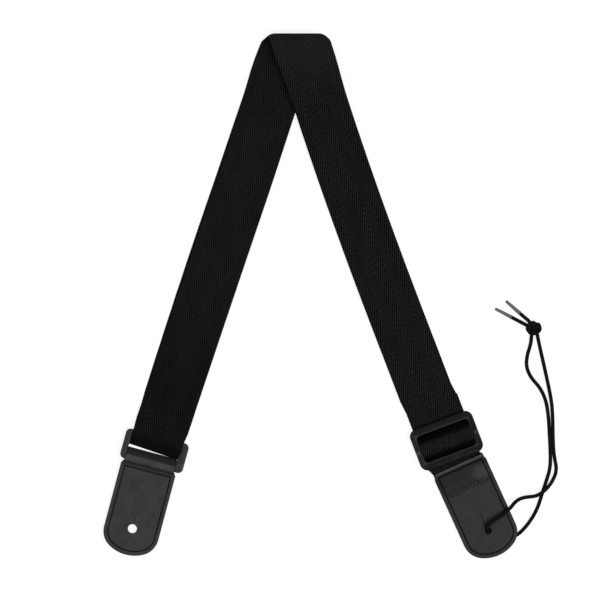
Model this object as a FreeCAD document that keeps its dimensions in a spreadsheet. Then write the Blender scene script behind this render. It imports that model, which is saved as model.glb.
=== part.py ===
import FreeCAD, Part
import math
import os

import Sketcher
from FreeCAD import Placement, Rotation, Vector

# A guitar strap lying doubled on a table, its two ends towards the bottom of the plan.
# Millimetres, +Z up, the table at z = 0, the origin at the left tab's button hole.
# Plan directions are given as a lean: degrees from +Y, positive leaning to +X.

# a value that starts with "=" is worked out by the sheet from the ones named in it
SIZES = [
    # webbing
    ("webbing_width", 50.0),
    ("webbing_thick", 1.2),
    ("layer_gap", 0.1),
    ("moving_gap", 0.3),
    ("web_end_inside_tab", 18.0),
    # the fold at the top and the two legs
    ("fold_centre_y", 454.5),
    ("fold_centre_radius", 6.4),
    ("fold_shift", 8.2),
    ("left_lean", 18.7),
    ("left_lower_bow", 2.5),
    ("right_lean_top", 16.9),
    ("right_lean_low", 21.3),
    ("right_bend_length", 260.0),
    ("leg_clearance", 0.6),
    # rectangular ring
    ("ring_height", 28.6),
    ("ring_bar", 4.2),
    ("ring_rail", 4.0),
    ("ring_side_play", 1.3),
    ("ring_length", "=webbing_width + 2 * ring_side_play + 2 * ring_rail"),
    ("ring_corner", 5.5),
    ("ring_window_corner", 1.5),
    ("ring_lean", 15.5),
    ("ring_bar_x", 24.0),
    ("ring_bar_y", 84.6),
    ("ring_turn_slack", 11.3),
    ("ring_turn_length", 25.0),
    # both tabs
    ("leather_thick", 1.1),
    ("core_thick", "=webbing_thick"),
    ("tab_margin", 1.2),
    ("tab_width", "=webbing_width + 2 * tab_margin"),
    ("tab_below_hole", 25.0),
    ("tab_corner_radius", 19.0),
    ("tab_end_radius", 34.0),
    ("hole_diameter", 8.5),
    ("slit_length", 14.5),
    ("slit_width", 0.5),
    ("stitch_inset", 4.0),
    ("thread_width", 0.6),
    ("thread_height", 0.25),
    ("board_inset", 0.8),
    # left tab
    ("left_tab_lean", 14.9),
    ("left_stitch_top", 54.6),
    ("left_shoulder", 55.5),
    ("left_neck", 59.5),
    ("left_neck_step", 1.0),
    ("left_neck_width", "=webbing_width - 2 * left_neck_step"),
    ("left_roll_tip", 71.9),
    ("roll_outer_radius", 1.9),
    # right tab
    ("right_tab_lean", -24.3),
    ("right_hole_right_of_slider", 38.9),
    ("right_hole_below_slider", 84.0),
    ("right_tab_over_cord", 0.4),
    ("right_tab_top_rest", 1.2),
    ("right_tab_above_hole", 67.8),
    ("right_tab_chamfer", 2.6),
    ("right_stitch_top", 63.7),
    # slider
    ("slider_height", 38.6),
    ("slider_thick", 3.8),
    ("slider_corner", 7.0),
    ("slider_rail", 6.2),
    ("slider_side", 4.3),
    ("slider_side_play", 1.65),
    ("slider_length", "=webbing_width + 2 * slider_side_play + 2 * slider_side"),
    ("slider_window_corner", 2.6),
    ("slider_bar_width", 5.0),
    ("slider_bar_thick", 2.6),
    ("slider_bar_rise", 0.2),
    ("slider_bar_wrap_gap", 0.2),
    ("slider_bevel", 0.8),
    ("slider_lean", -20.8),
    ("slider_off_leg", 1.8),
    ("slider_y", 82.4),
    ("slider_window_play", 0.9),
    ("end_tail", 36.0),
    ("end_reach", 38.0),
    # tie cord
    ("cord_diameter", 3.2),
    ("aglet_length", 17.4),
    ("aglet_diameter", 3.0),
    ("aglet_tip_diameter", 2.5),
    ("knot_half_length", 8.0),
    ("knot_half_width", 6.6),
    ("knot_half_height", 4.4),
]

os.makedirs("parts", exist_ok=True)
doc = FreeCAD.newDocument("guitar_strap")
sheet = doc.addObject("Spreadsheet::Sheet", "sizes")
for row, (name, value) in enumerate(SIZES, start=1):
    sheet.set(f"A{row}", name)
    sheet.set(f"B{row}", str(value))
    sheet.setAlias(f"B{row}", name)
doc.recompute()
S = {name: float(getattr(sheet, name)) for name, _ in SIZES}

pieces = []


# ---------------------------------------------------------------- helpers

def along(lean):
    """Unit plan direction for a lean."""
    return Vector(math.sin(math.radians(lean)), math.cos(math.radians(lean)), 0)


def across(lean):
    """Unit plan direction to the right of a lean."""
    return Vector(math.cos(math.radians(lean)), -math.sin(math.radians(lean)), 0)


def frame_at(origin, lean, tilt=0.0):
    """Placement whose own +Y points along the lean, dipping by tilt degrees."""
    turn = Rotation(Vector(0, 0, 1), -lean).multiply(Rotation(Vector(1, 0, 0), -tilt))
    return Placement(origin, turn)


def keep(obj, label):
    obj.Label = label
    pieces.append(obj)
    return obj


def feature(label, shape, place=None):
    """A piece whose shape is worked out here from the sheet's values."""
    obj = doc.addObject("Part::Feature", label)
    obj.Shape = shape
    if place:
        obj.Placement = place
    return obj


def ribbon(stations, thick):
    """Solid strip of constant thickness through (left, right) points on its mid surface."""
    normals = []
    for (left0, right0), (left1, right1) in zip(stations, stations[1:]):
        step = (left1 - left0) + (right1 - right0)
        normal = (right0 - left0).cross(step)
        normals.append(normal.normalize())
    wires = []
    for i, (left, right) in enumerate(stations):
        before, after = normals[max(i - 1, 0)], normals[min(i, len(normals) - 1)]
        mean = (before + after).normalize()
        half = mean * (thick / 2 / max(mean.dot(before), 0.5))
        corners = [left - half, right - half, right + half, left + half]
        wires.append(Part.makePolygon(corners + corners[:1]))
    return Part.makeLoft(wires, True, True)


def strip_in_frame(profile, width, thick, place):
    """Strip across a placement's own X, following (y, z) points of its mid line."""
    stations = []
    for y, z in profile:
        ends = [place.multVec(Vector(side * width / 2, y, z)) for side in (-1, 1)]
        stations.append(tuple(ends))
    return ribbon(stations, thick)


def half_turn(y, z, radius, side, steps=8):
    """Half circle about (y, z) in a strip's profile, from its bottom to its top, round side."""
    angles = [math.pi * i / steps for i in range(steps + 1)]
    return [(y + side * radius * math.sin(a), z - radius * math.cos(a)) for a in angles]


def new_body(label):
    return keep(doc.addObject("PartDesign::Body", label), label)


def plane(body, role):
    return next(f for f in body.Origin.OriginFeatures if f.Role == role)


def line(x0, y0, x1, y1):
    return Part.LineSegment(Vector(x0, y0, 0), Vector(x1, y1, 0))


def arc_about(x, y, radius, start, end):
    """Arc about a centre between two angles in degrees, counter-clockwise."""
    circle = Part.Circle(Vector(x, y, 0), Vector(0, 0, 1), radius)
    return Part.ArcOfCircle(circle, math.radians(start), math.radians(end))


def rounded_box(half_x, half_y, radius):
    """Rounded rectangle about the origin, as one closed loop."""
    curves = []
    corners = [(1, -1, 270), (1, 1, 0), (-1, 1, 90), (-1, -1, 180)]
    for i, (sx, sy, start) in enumerate(corners):
        cx, cy = sx * (half_x - radius), sy * (half_y - radius)
        curves.append(arc_about(cx, cy, radius, start, start + 90))
        nx, ny, _ = corners[(i + 1) % 4]
        tail = curves[-1].EndPoint
        if sx == nx:
            curves.append(line(tail.x, tail.y, tail.x, ny * (half_y - radius)))
        else:
            curves.append(line(tail.x, tail.y, nx * (half_x - radius), tail.y))
    return curves


def tab_outline(top, inset=0.0, chamfer=0.0, neck=None):
    """Tab's plan about its hole: straight sides, a round end, then the top or a neck."""
    half = S["tab_width"] / 2 - inset
    corner = S["tab_corner_radius"] - inset
    end = S["tab_end_radius"] - inset
    low = S["tab_below_hole"] - inset
    end_y = end - low
    reach = math.sqrt((end - corner) ** 2 - (half - corner) ** 2)
    corner_y = end_y - reach
    turn = math.degrees(math.atan2(half - corner, reach))
    curves = [
        arc_about(-(half - corner), corner_y, corner, 180, 270 - turn),
        arc_about(0, end_y, end, 270 - turn, 270 + turn),
        arc_about(half - corner, corner_y, corner, 270 + turn, 360),
    ]
    right = [(half, corner_y)]
    if neck:
        shoulder_y, neck_y, neck_half = neck
        right += [(half, shoulder_y), (neck_half, neck_y), (neck_half, top)]
    elif chamfer:
        right += [(half, top - 2 * chamfer), (half - chamfer, top)]
    else:
        right += [(half, top)]
    points = right + [(-x, y) for x, y in reversed(right)]
    for (x0, y0), (x1, y1) in zip(points, points[1:]):
        curves.append(line(x0, y0, x1, y1))
    return curves


def sketch_on(body, name, loops, dims=(), offset=None):
    """Closed loops on the body's XY plane; dims hold (where, kind, name, value, formula)."""
    sketch = body.newObject("Sketcher::SketchObject", name)
    sketch.AttachmentSupport = (plane(body, "XY_Plane"), "")
    sketch.MapMode = "FlatFace"
    if offset:
        sketch.setExpression("AttachmentOffset.Base.z", offset)
    for loop in loops:
        first = sketch.GeometryCount
        for curve in loop:
            sketch.addGeometry(curve, False)
        for i in range(len(loop)):
            here, after = first + i, first + (i + 1) % len(loop)
            sketch.addConstraint(Sketcher.Constraint("Coincident", here, 2, after, 1))
    for where, kind, label, value, formula in dims:
        index = sketch.addConstraint(Sketcher.Constraint(kind, *where, value))
        sketch.renameConstraint(index, label)
        sketch.setExpression("Constraints." + label, formula)
    return sketch


def pad(body, sketch, length):
    feature_made = body.newObject("PartDesign::Pad", sketch.Name + "_pad")
    feature_made.Profile = sketch
    feature_made.setExpression("Length", length)
    return feature_made


def pocket_through(body, sketch):
    """Cut both ways through the whole body."""
    feature_made = body.newObject("PartDesign::Pocket", sketch.Name + "_cut")
    feature_made.Profile = sketch
    feature_made.Type = "ThroughAll"
    feature_made.Midplane = True
    return feature_made


def hole_sketch(body):
    """The button hole with its slit, which runs up towards the strap."""
    radius = S["hole_diameter"] / 2
    half_slit = S["slit_width"] / 2
    turn = math.degrees(math.asin(half_slit / radius))
    foot = math.sqrt(radius ** 2 - half_slit ** 2)
    top = S["slit_length"]
    loop = [
        arc_about(0, 0, radius, 90 + turn, 450 - turn),
        line(half_slit, foot, half_slit, top),
        line(half_slit, top, -half_slit, top),
        line(-half_slit, top, -half_slit, foot),
    ]
    dims = [((0,), "Radius", "hole_radius", radius, "sizes.hole_diameter / 2")]
    return sketch_on(body, body.Label + "_hole", [loop], dims)


def tab_plate(label, place, top, thick, level, inset=0.0, chamfer=0.0):
    """Flat layer of a tab with the tab's outline and hole, level above the tab's back."""
    body = new_body(label)
    loop = tab_outline(top, inset, chamfer)
    corner = "sizes.tab_corner_radius" + (" - sizes.board_inset" if inset else "")
    dims = [((0,), "Radius", "corner_radius", S["tab_corner_radius"] - inset, corner)]
    pad(body, sketch_on(body, label + "_outline", [loop], dims, level), thick)
    doc.recompute()
    pocket_through(body, hole_sketch(body))
    body.Placement = place
    return body


def stitch_bead(label, place, top, level):
    """Thread sewn round a tab: a low bead along the stitch line."""
    body = new_body(label)
    half = S["thread_width"] / 2
    outer = tab_outline(top + half, S["stitch_inset"] - half)
    inner = tab_outline(top - half, S["stitch_inset"] + half)
    radius = S["tab_corner_radius"] - S["stitch_inset"] + half
    formula = "sizes.tab_corner_radius - sizes.stitch_inset + sizes.thread_width / 2"
    dims = [((0,), "Radius", "outer_radius", radius, formula)]
    pad(body, sketch_on(body, label + "_line", [outer, inner], dims, level), "sizes.thread_height")
    body.Placement = place
    return body


# ---------------------------------------------------------------- levels and places

web = S["webbing_thick"]
layer = web + S["layer_gap"]
low_mid = web / 2
high_mid = low_mid + layer
leather = S["leather_thick"]
bar_radius = S["ring_bar"] / 2
bar_level = max(leather, web) + S["moving_gap"] + bar_radius

ring_bar_at = Vector(S["ring_bar_x"], S["ring_bar_y"], 0)
ring_bar_to_centre = S["ring_height"] / 2 - bar_radius
ring_centre = ring_bar_at - along(S["ring_lean"]) * ring_bar_to_centre
low_bar_at = ring_centre - along(S["ring_lean"]) * ring_bar_to_centre

left_tab_place = frame_at(Vector(0, 0, 0), S["left_tab_lean"])
turn_place = frame_at(ring_bar_at, S["left_lean"])


def left_centre(y, bow=0.0):
    """Centre of the left leg at a height y; bow moves its middle to the left."""
    x = S["ring_bar_x"] + (y - S["ring_bar_y"]) * math.tan(math.radians(S["left_lean"]))
    part = (y - S["ring_bar_y"]) / (S["fold_centre_y"] - S["ring_bar_y"])
    return x - bow * math.sin(math.pi * part)


fold_y = S["fold_centre_y"]
fold_level = S["fold_centre_radius"] + web + S["layer_gap"] / 2
left_top_x = left_centre(fold_y)
right_top_x = left_top_x + S["fold_shift"]


def right_centre(down):
    """Centre of the right leg at a distance down from the fold: a bend, then straight."""
    top = math.tan(math.radians(S["right_lean_top"]))
    low = math.tan(math.radians(S["right_lean_low"]))
    bend = S["right_bend_length"]
    bent = min(down, bend)
    x = top * bent + (low - top) * bent ** 2 / (2 * bend)
    return right_top_x + x + low * max(down - bend, 0.0)


slider_x = right_centre(fold_y - S["slider_y"]) + S["slider_off_leg"]
slider_at = Vector(slider_x, S["slider_y"], 0)
slider_place = frame_at(slider_at, S["slider_lean"])
# the right tab lies on the cord at its hole and comes down towards the webbing
right_tab_lift = S["cord_diameter"] + S["right_tab_over_cord"]
right_tab_fall = (right_tab_lift - S["right_tab_top_rest"]) / S["right_tab_above_hole"]
right_hole_at = slider_at + Vector(S["right_hole_right_of_slider"], -S["right_hole_below_slider"], 0)
right_tab_place = frame_at(right_hole_at + Vector(0, 0, right_tab_lift), S["right_tab_lean"],
                           math.degrees(math.asin(right_tab_fall)))


# ---------------------------------------------------------------- webbing: left leg

def left_leg(label, level, bow):
    """Flat layer from the ring turn up to the fold; its upper end is cut along X."""
    half = S["webbing_width"] / 2 / math.cos(math.radians(S["left_lean"]))
    start = S["ring_turn_length"] + S["moving_gap"]
    first = [turn_place.multVec(Vector(side * S["webbing_width"] / 2, start, level))
             for side in (-1, 1)]
    stations = [tuple(first)]
    low_y = first[0].y + 12.0
    top_y = S["fold_centre_y"] - S["moving_gap"]
    for i in range(9):
        y = low_y + (top_y - low_y) * i / 8
        x = left_centre(y, bow)
        stations.append((Vector(x - half, y, level), Vector(x + half, y, level)))
    return keep(feature(label, ribbon(stations, web)), label)


left_leg("webbing_left_lower", low_mid, S["left_lower_bow"])
left_leg("webbing_left_upper", high_mid, 0.0)

# the webbing's turn round the ring's upper bar, in the leg's own frame
turn_y = S["roll_outer_radius"] - S["ring_turn_slack"]
turn_mid = S["roll_outer_radius"] - web / 2
over_bar = bar_level + bar_radius + S["moving_gap"] + web / 2
turn_profile = [(S["ring_turn_length"], low_mid), (turn_y, low_mid)]
turn_profile += half_turn(turn_y, S["roll_outer_radius"], turn_mid, -1)[1:]
turn_profile += [(-bar_radius - 1, over_bar), (bar_radius + 1, over_bar)]
turn_profile += [(S["ring_turn_length"] - 7, high_mid), (S["ring_turn_length"], high_mid)]
turn_shape = strip_in_frame(turn_profile, S["webbing_width"], web, turn_place)
keep(feature("webbing_ring_turn", turn_shape), "webbing_ring_turn")


# ---------------------------------------------------------------- webbing: fold and right leg

def fold(label, radius):
    """One layer's turn about a line along X, its side shifting as it goes round."""
    half = S["webbing_width"] / 2 / math.cos(math.radians(S["left_lean"]))
    steps = 12
    stations = []
    for i in range(steps + 1):
        angle = math.radians(-90 + 180 * i / steps)
        y = fold_y + radius * math.cos(angle)
        z = fold_level + radius * math.sin(angle)
        x = left_top_x + S["fold_shift"] * i / steps
        stations.append((Vector(x - half, y, z), Vector(x + half, y, z)))
    return keep(feature(label, ribbon(stations, web)), label)


fold("webbing_fold_outer", fold_level - low_mid)
fold("webbing_fold_inner", fold_level - high_mid)


def right_level(down):
    """Middle level of the two layers: off the fold, over the left leg, down to the table."""
    rest = (low_mid + high_mid) / 2
    top = 2 * fold_level - rest
    over = 2 * layer + rest + S["leg_clearance"]
    knots = [(0, top), (18, top - 0.5), (48, (top + over) / 2 + 0.6), (86, over + 0.2),
             (125, rest + 0.9), (160, rest)]
    for (d0, z0), (d1, z1) in zip(knots, knots[1:]):
        if down <= d1:
            return z0 + (z1 - z0) * (down - d0) / (d1 - d0)
    return rest


def right_leg(label, side, end_reach):
    """Layer below (side -1) or above (side 1) the leg's middle, up to the slider."""
    downs = [S["moving_gap"], 18, 48, 86, 125, 160, 190, 220, 260]
    tail_on = slider_place.multVec(Vector(0, S["end_tail"] + 12, 0)).y
    downs += [fold_y - tail_on - 26, fold_y - tail_on]
    stations = []
    for down in downs:
        bent = min(down / S["right_bend_length"], 1.0)
        lean = S["right_lean_top"] + (S["right_lean_low"] - S["right_lean_top"]) * bent
        half = S["webbing_width"] / 2 / math.cos(math.radians(lean))
        x, z = right_centre(down), right_level(down) + side * layer / 2
        if down == downs[-1]:
            z += layer
        stations.append((Vector(x - half, fold_y - down, z), Vector(x + half, fold_y - down, z)))
    level = low_mid + layer + (layer if side > 0 else 0)
    stations.append(tuple(slider_place.multVec(Vector(s * S["webbing_width"] / 2, end_reach, level))
                          for s in (-1, 1)))
    return keep(feature(label, ribbon(stations, web)), label)


seam_y = S["slider_height"] / 2 - S["slider_rail"] / 2
right_leg("webbing_right_lower", -1, S["end_reach"] + S["moving_gap"])
right_leg("webbing_right_upper", 1, seam_y)


# ---------------------------------------------------------------- webbing at the slider

tail_mid = low_mid
loop_mid = low_mid + layer
through_mid = low_mid + 2 * layer
slider_level = 3 * layer - S["layer_gap"] + S["moving_gap"]
slider_bar_level = slider_level + S["slider_bar_rise"]
bar_half = S["slider_bar_width"] / 2
bar_top = slider_bar_level + S["slider_bar_thick"]
loop_top = bar_top + S["layer_gap"] + web / 2
hump_top = loop_top + layer
window_half = S["slider_height"] / 2 - S["slider_rail"]
rise = window_half - S["slider_window_play"]

hump_end = seam_y - S["moving_gap"]
hump = [(hump_end, through_mid), (rise, through_mid), (bar_half + 1.7, hump_top),
        (-bar_half - 1.7, hump_top), (-rise, through_mid), (-hump_end, through_mid)]
hump_shape = strip_in_frame(hump, S["webbing_width"], web, slider_place)
keep(feature("webbing_over_bar", hump_shape), "webbing_over_bar")

wrap_y = bar_half + 0.8 + web / 2
under_bar = slider_bar_level - S["slider_bar_wrap_gap"] - web / 2
end_loop = [(S["end_reach"], loop_mid), (rise - 1, loop_mid), (bar_half + 0.5, loop_top),
            (-bar_half - 0.4, loop_top), (-wrap_y, bar_top - 0.3), (-wrap_y, slider_bar_level + 0.1),
            (-bar_half, under_bar), (bar_half + 0.5, under_bar), (rise + 2, tail_mid),
            (S["end_tail"], tail_mid)]
loop_shape = strip_in_frame(end_loop, S["webbing_width"], web, slider_place)
keep(feature("webbing_end_loop", loop_shape), "webbing_end_loop")

# the short single layer from under the slider into the right tab
core_mid = leather + S["core_thick"] / 2
lead = []
for y in (-seam_y, -S["slider_height"] / 2 - 0.5):
    lead.append(tuple(slider_place.multVec(Vector(s * S["webbing_width"] / 2, y, through_mid))
                      for s in (-1, 1)))
inside = S["right_tab_above_hole"] - S["web_end_inside_tab"]
for y in (S["right_tab_above_hole"] + S["moving_gap"], inside):
    lead.append(tuple(right_tab_place.multVec(Vector(s * S["webbing_width"] / 2, y, core_mid))
                      for s in (-1, 1)))
keep(feature("webbing_tab_lead", ribbon(lead, web)), "webbing_tab_lead")


# ---------------------------------------------------------------- rectangular ring

ring = new_body("left_ring")
outer = rounded_box(S["ring_length"] / 2, S["ring_height"] / 2, S["ring_corner"])
corner = [((0,), "Radius", "corner_radius", S["ring_corner"], "sizes.ring_corner")]
pad(ring, sketch_on(ring, "ring_outline", [outer], corner), "sizes.ring_bar")
ring_half_x = S["ring_length"] / 2 - S["ring_rail"]
ring_half_y = S["ring_height"] / 2 - S["ring_bar"]
window = rounded_box(ring_half_x, ring_half_y, S["ring_window_corner"])
doc.recompute()
ring_cut = pocket_through(ring, sketch_on(ring, "ring_window", [window]))
doc.recompute()
flat_edges = [f"Edge{i}" for i, edge in enumerate(ring_cut.Shape.Edges, start=1)
              if edge.BoundBox.ZLength < 1e-6]
ring_round = ring.newObject("PartDesign::Fillet", "ring_rounding")
ring_round.Base = (ring_cut, flat_edges)
ring_round.setExpression("Radius", "min(sizes.ring_bar; sizes.ring_rail) * 0.47")
ring.Placement = frame_at(ring_centre + Vector(0, 0, bar_level - bar_radius), S["ring_lean"])


# ---------------------------------------------------------------- slider

slider = new_body("slider_frame")
outer = rounded_box(S["slider_length"] / 2, S["slider_height"] / 2, S["slider_corner"])
corner = [((0,), "Radius", "corner_radius", S["slider_corner"], "sizes.slider_corner")]
pad(slider, sketch_on(slider, "slider_outline", [outer], corner), "sizes.slider_thick")
slider_half_x = S["slider_length"] / 2 - S["slider_side"]
window = rounded_box(slider_half_x, window_half, S["slider_window_corner"])
corner = [((0,), "Radius", "window_radius", S["slider_window_corner"],
           "sizes.slider_window_corner")]
doc.recompute()
slider_cut = pocket_through(slider, sketch_on(slider, "slider_window", [window], corner))
doc.recompute()
top_edges = [f"Edge{i}" for i, edge in enumerate(slider_cut.Shape.Edges, start=1)
             if edge.BoundBox.ZMin > S["slider_thick"] - 1e-6]
bevel = slider.newObject("PartDesign::Chamfer", "slider_bevelling")
bevel.Base = (slider_cut, top_edges)
bevel.setExpression("Size", "sizes.slider_bevel")
bar_reach = slider_half_x + 1.0
bar_loop = [line(-bar_reach, -bar_half, bar_reach, -bar_half),
            line(bar_reach, -bar_half, bar_reach, bar_half),
            line(bar_reach, bar_half, -bar_reach, bar_half),
            line(-bar_reach, bar_half, -bar_reach, -bar_half)]
doc.recompute()
bar_sketch = sketch_on(slider, "slider_bar", [bar_loop])
bar_sketch.AttachmentOffset = Placement(Vector(0, 0, slider_bar_level - slider_level), Rotation())
pad(slider, bar_sketch, "sizes.slider_bar_thick")
slider.Placement = frame_at(slider_at + Vector(0, 0, slider_level), S["slider_lean"])


# ---------------------------------------------------------------- left tab

roll_y = S["left_roll_tip"] - S["roll_outer_radius"]
roll_mid = S["roll_outer_radius"] - leather / 2
bar_local = left_tab_place.inverse().multVec(low_bar_at)
over_roll = bar_level + bar_radius + S["moving_gap"] + leather / 2
face_mid = leather + S["core_thick"] + leather / 2
under = -S["tab_below_hole"] - 1.0
strip_profile = [(under, leather / 2), (roll_y, leather / 2)]
strip_profile += half_turn(roll_y, S["roll_outer_radius"], roll_mid, 1)[1:]
strip_profile += [(bar_local.y + bar_radius + 0.4, over_roll),
                  (bar_local.y - bar_radius - 0.4, over_roll),
                  (S["left_shoulder"], face_mid), (under, face_mid)]
flat_place = Placement()
strip = feature("left_tab_strip", strip_in_frame(
    strip_profile, S["tab_width"] + 2, leather, flat_place))
neck = (S["left_shoulder"], S["left_neck"], S["left_neck_width"] / 2)
outline = Part.Wire([c.toShape() for c in tab_outline(S["left_roll_tip"] + 1, neck=neck)])
outline_face = feature("left_tab_plan", Part.Face(outline))
prism = doc.addObject("Part::Extrusion", "left_tab_prism")
prism.Base = outline_face
prism.Dir = Vector(0, 0, 1)
prism.setExpression("LengthFwd", "3 * sizes.ring_bar")
prism.setExpression("LengthRev", "sizes.leather_thick")
trimmed = doc.addObject("Part::Common", "left_tab_trimmed")
trimmed.Base, trimmed.Tool = strip, prism
drill = doc.addObject("Part::Cylinder", "left_tab_drill")
drill.setExpression("Radius", "sizes.hole_diameter / 2")
drill.setExpression("Height", "sizes.leather_thick * 2 + sizes.core_thick + 2")
drill.Placement.Base.z = -1
drilled = doc.addObject("Part::Cut", "left_tab_drilled")
drilled.Base, drilled.Tool = trimmed, drill
knife = doc.addObject("Part::Box", "left_tab_knife")
knife.setExpression("Length", "sizes.slit_width")
knife.setExpression("Width", "sizes.slit_length")
knife.setExpression("Height", "sizes.leather_thick * 2 + sizes.core_thick + 2")
knife.setExpression("Placement.Base.x", "-sizes.slit_width / 2")
knife.Placement.Base.z = -1
left_leather = doc.addObject("Part::Cut", "left_tab_leather")
left_leather.Base, left_leather.Tool = drilled, knife
left_leather.Placement = left_tab_place
keep(left_leather, "left_tab_leather")

board_top = S["left_stitch_top"] - 1.0
tab_plate("left_tab_board", left_tab_place, board_top, "sizes.core_thick",
          "sizes.leather_thick", S["board_inset"])
stitch_bead("left_tab_stitching", left_tab_place, S["left_stitch_top"],
            "sizes.leather_thick * 2 + sizes.core_thick")


# ---------------------------------------------------------------- right tab

right_top = S["right_tab_above_hole"]
tab_plate("right_tab_back", right_tab_place, right_top, "sizes.leather_thick", None,
          chamfer=S["right_tab_chamfer"])
tab_plate("right_tab_board", right_tab_place, inside - 0.5, "sizes.core_thick",
          "sizes.leather_thick", S["board_inset"])
tab_plate("right_tab_face", right_tab_place, right_top, "sizes.leather_thick",
          "sizes.leather_thick + sizes.core_thick", chamfer=S["right_tab_chamfer"])
stitch_bead("right_tab_stitching", right_tab_place, S["right_stitch_top"],
            "sizes.leather_thick * 2 + sizes.core_thick")


# ---------------------------------------------------------------- tie cord

cord_radius = S["cord_diameter"] / 2
knot_at = right_hole_at + Vector(42.6, 189.1, S["knot_half_height"] + 0.2)

# routes chosen by hand, in plan from the right tab's hole and in height from the table:
# out of the hole, over and under the tab, to the knot
FRONT_ROUTE = [
    (-0.4, 0.8, 6.0), (-2.4, 3.8, 12.0), (3.0, 8.8, 11.4), (10.8, 13.4, 9.9),
    (19.8, 20.6, 9.5), (26.4, 28.2, 4.4), (34.5, 31.2, 2.4), (44.8, 32.2, 8.0),
    (53.4, 38.0, 8.0), (60.6, 46.2, 2.4), (64.6, 56.6, 1.6), (62.4, 68.6, 1.6),
    (60.9, 82.6, 1.6), (60.7, 100.6, 1.6), (60.0, 117.6, 1.6), (56.8, 134.6, 1.6),
    (53.0, 151.6, 1.6), (49.4, 167.6, 1.6), (46.9, 178.6, 2.6), (45.4, 185.8, 4.4),
]
BACK_ROUTE = [
    (-0.4, 0.8, 6.0), (1.0, -1.3, 1.8), (7.4, -3.2, 1.6), (15.5, -5.6, 1.6),
    (25.4, -6.0, 1.6), (33.6, 1.0, 1.6), (41.2, 11.0, 1.6), (47.0, 22.0, 1.6),
    (50.6, 34.2, 1.6), (54.6, 46.0, 1.6), (57.2, 58.6, 1.6), (57.5, 73.6, 1.6),
    (57.3, 91.6, 1.6), (56.6, 107.6, 1.6), (54.2, 122.0, 1.6), (48.6, 133.6, 1.6),
    (40.4, 142.4, 1.6), (35.8, 152.6, 1.6), (36.6, 163.2, 1.6), (39.8, 173.0, 1.6),
    (40.6, 179.0, 2.6), (40.9, 185.0, 4.0),
]
UPPER_TAIL_ROUTE = [
    (39.6, 194.4, 4.2), (36.9, 196.8, 3.0), (33.6, 199.6, 1.6), (29.5, 203.2, 1.6),
]
LOWER_TAIL_ROUTE = [
    (36.6, 191.5, 4.0), (32.4, 193.6, 2.6), (27.6, 196.2, 1.6), (21.7, 199.3, 1.6),
]


def route_points(route):
    return [right_hole_at + Vector(*point) for point in route]


def cord_path(points):
    """Straight runs joined by tangent arcs, each as large as its two runs allow."""
    edges, radii = [], []
    start = points[0]
    for before, here, after in zip(points, points[1:], points[2:]):
        come, go = (here - before), (after - here)
        turn = come.getAngle(go)
        cut = 0.45 * min(come.Length, go.Length)
        radii.append(cut / math.tan(turn / 2))
        come, go = come.normalize(), go.normalize()
        enter, leave = here - come * cut, here + go * cut
        bisector = (go - come).normalize()
        centre = here + bisector * (radii[-1] / math.cos(turn / 2))
        middle = centre - bisector * radii[-1]
        edges.append(Part.LineSegment(start, enter).toShape())
        edges.append(Part.Arc(enter, middle, leave).toShape())
        start = leave
    edges.append(Part.LineSegment(start, points[-1]).toShape())
    return Part.Wire(edges), radii


def tie_cord(label, route):
    points = route_points(route)
    path, radii = cord_path(points)
    ring_edge = Part.makeCircle(cord_radius, points[0], points[1] - points[0])
    tube = path.makePipeShell([Part.Wire([ring_edge])], True, True)
    expected = math.pi * cord_radius ** 2 * path.Length
    print(f"{label}: length {path.Length:.1f}, tightest arc {min(radii):.1f},"
          f" volume {tube.Volume / expected:.3f} of section times length")
    return keep(feature(label, tube), label)


tie_cord("tie_cord_front", FRONT_ROUTE)
tie_cord("tie_cord_back", BACK_ROUTE)
tie_cord("tie_cord_tail_upper", UPPER_TAIL_ROUTE)
tie_cord("tie_cord_tail_lower", LOWER_TAIL_ROUTE)

knot = doc.addObject("Part::Ellipsoid", "tie_cord_knot")
knot.setExpression("Radius1", "sizes.knot_half_height")
knot.setExpression("Radius2", "sizes.knot_half_length")
knot.setExpression("Radius3", "sizes.knot_half_width")
knot.Placement = Placement(knot_at, Rotation(Vector(0, 0, 1), 128))
keep(knot, "tie_cord_knot")


def aglet(label, route):
    """Tapered sleeve on a cord end, going on straight where the cord's route stops."""
    before, end = route_points(route)[-2:]
    sleeve = doc.addObject("Part::Cone", label)
    sleeve.setExpression("Radius1", "sizes.aglet_diameter / 2")
    sleeve.setExpression("Radius2", "sizes.aglet_tip_diameter / 2")
    sleeve.setExpression("Height", "sizes.aglet_length")
    sleeve.Placement = Placement(end, Rotation(Vector(0, 0, 1), end - before))
    return keep(sleeve, label)


aglet("aglet_upper", UPPER_TAIL_ROUTE)
aglet("aglet_lower", LOWER_TAIL_ROUTE)


# ---------------------------------------------------------------- checks and files

doc.recompute()
for obj in doc.Objects:
    if "Invalid" in obj.State or "Error" in obj.State:
        raise RuntimeError(f"{obj.Label} did not build: {obj.State}")
for obj in pieces:
    shape = obj.Shape
    if shape.isNull() or not shape.isValid() or not shape.Solids:
        raise RuntimeError(f"{obj.Label} has no valid solid")
    box = shape.BoundBox
    print(f"{obj.Label}: {shape.Volume / 1000:.2f} cm3, z {box.ZMin:.2f} to {box.ZMax:.2f}")
    shape.exportStep(f"parts/{obj.Label}.step")
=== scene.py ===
import math

import bmesh
import bpy
import numpy as np
from mathutils import Matrix, Vector, noise


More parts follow.
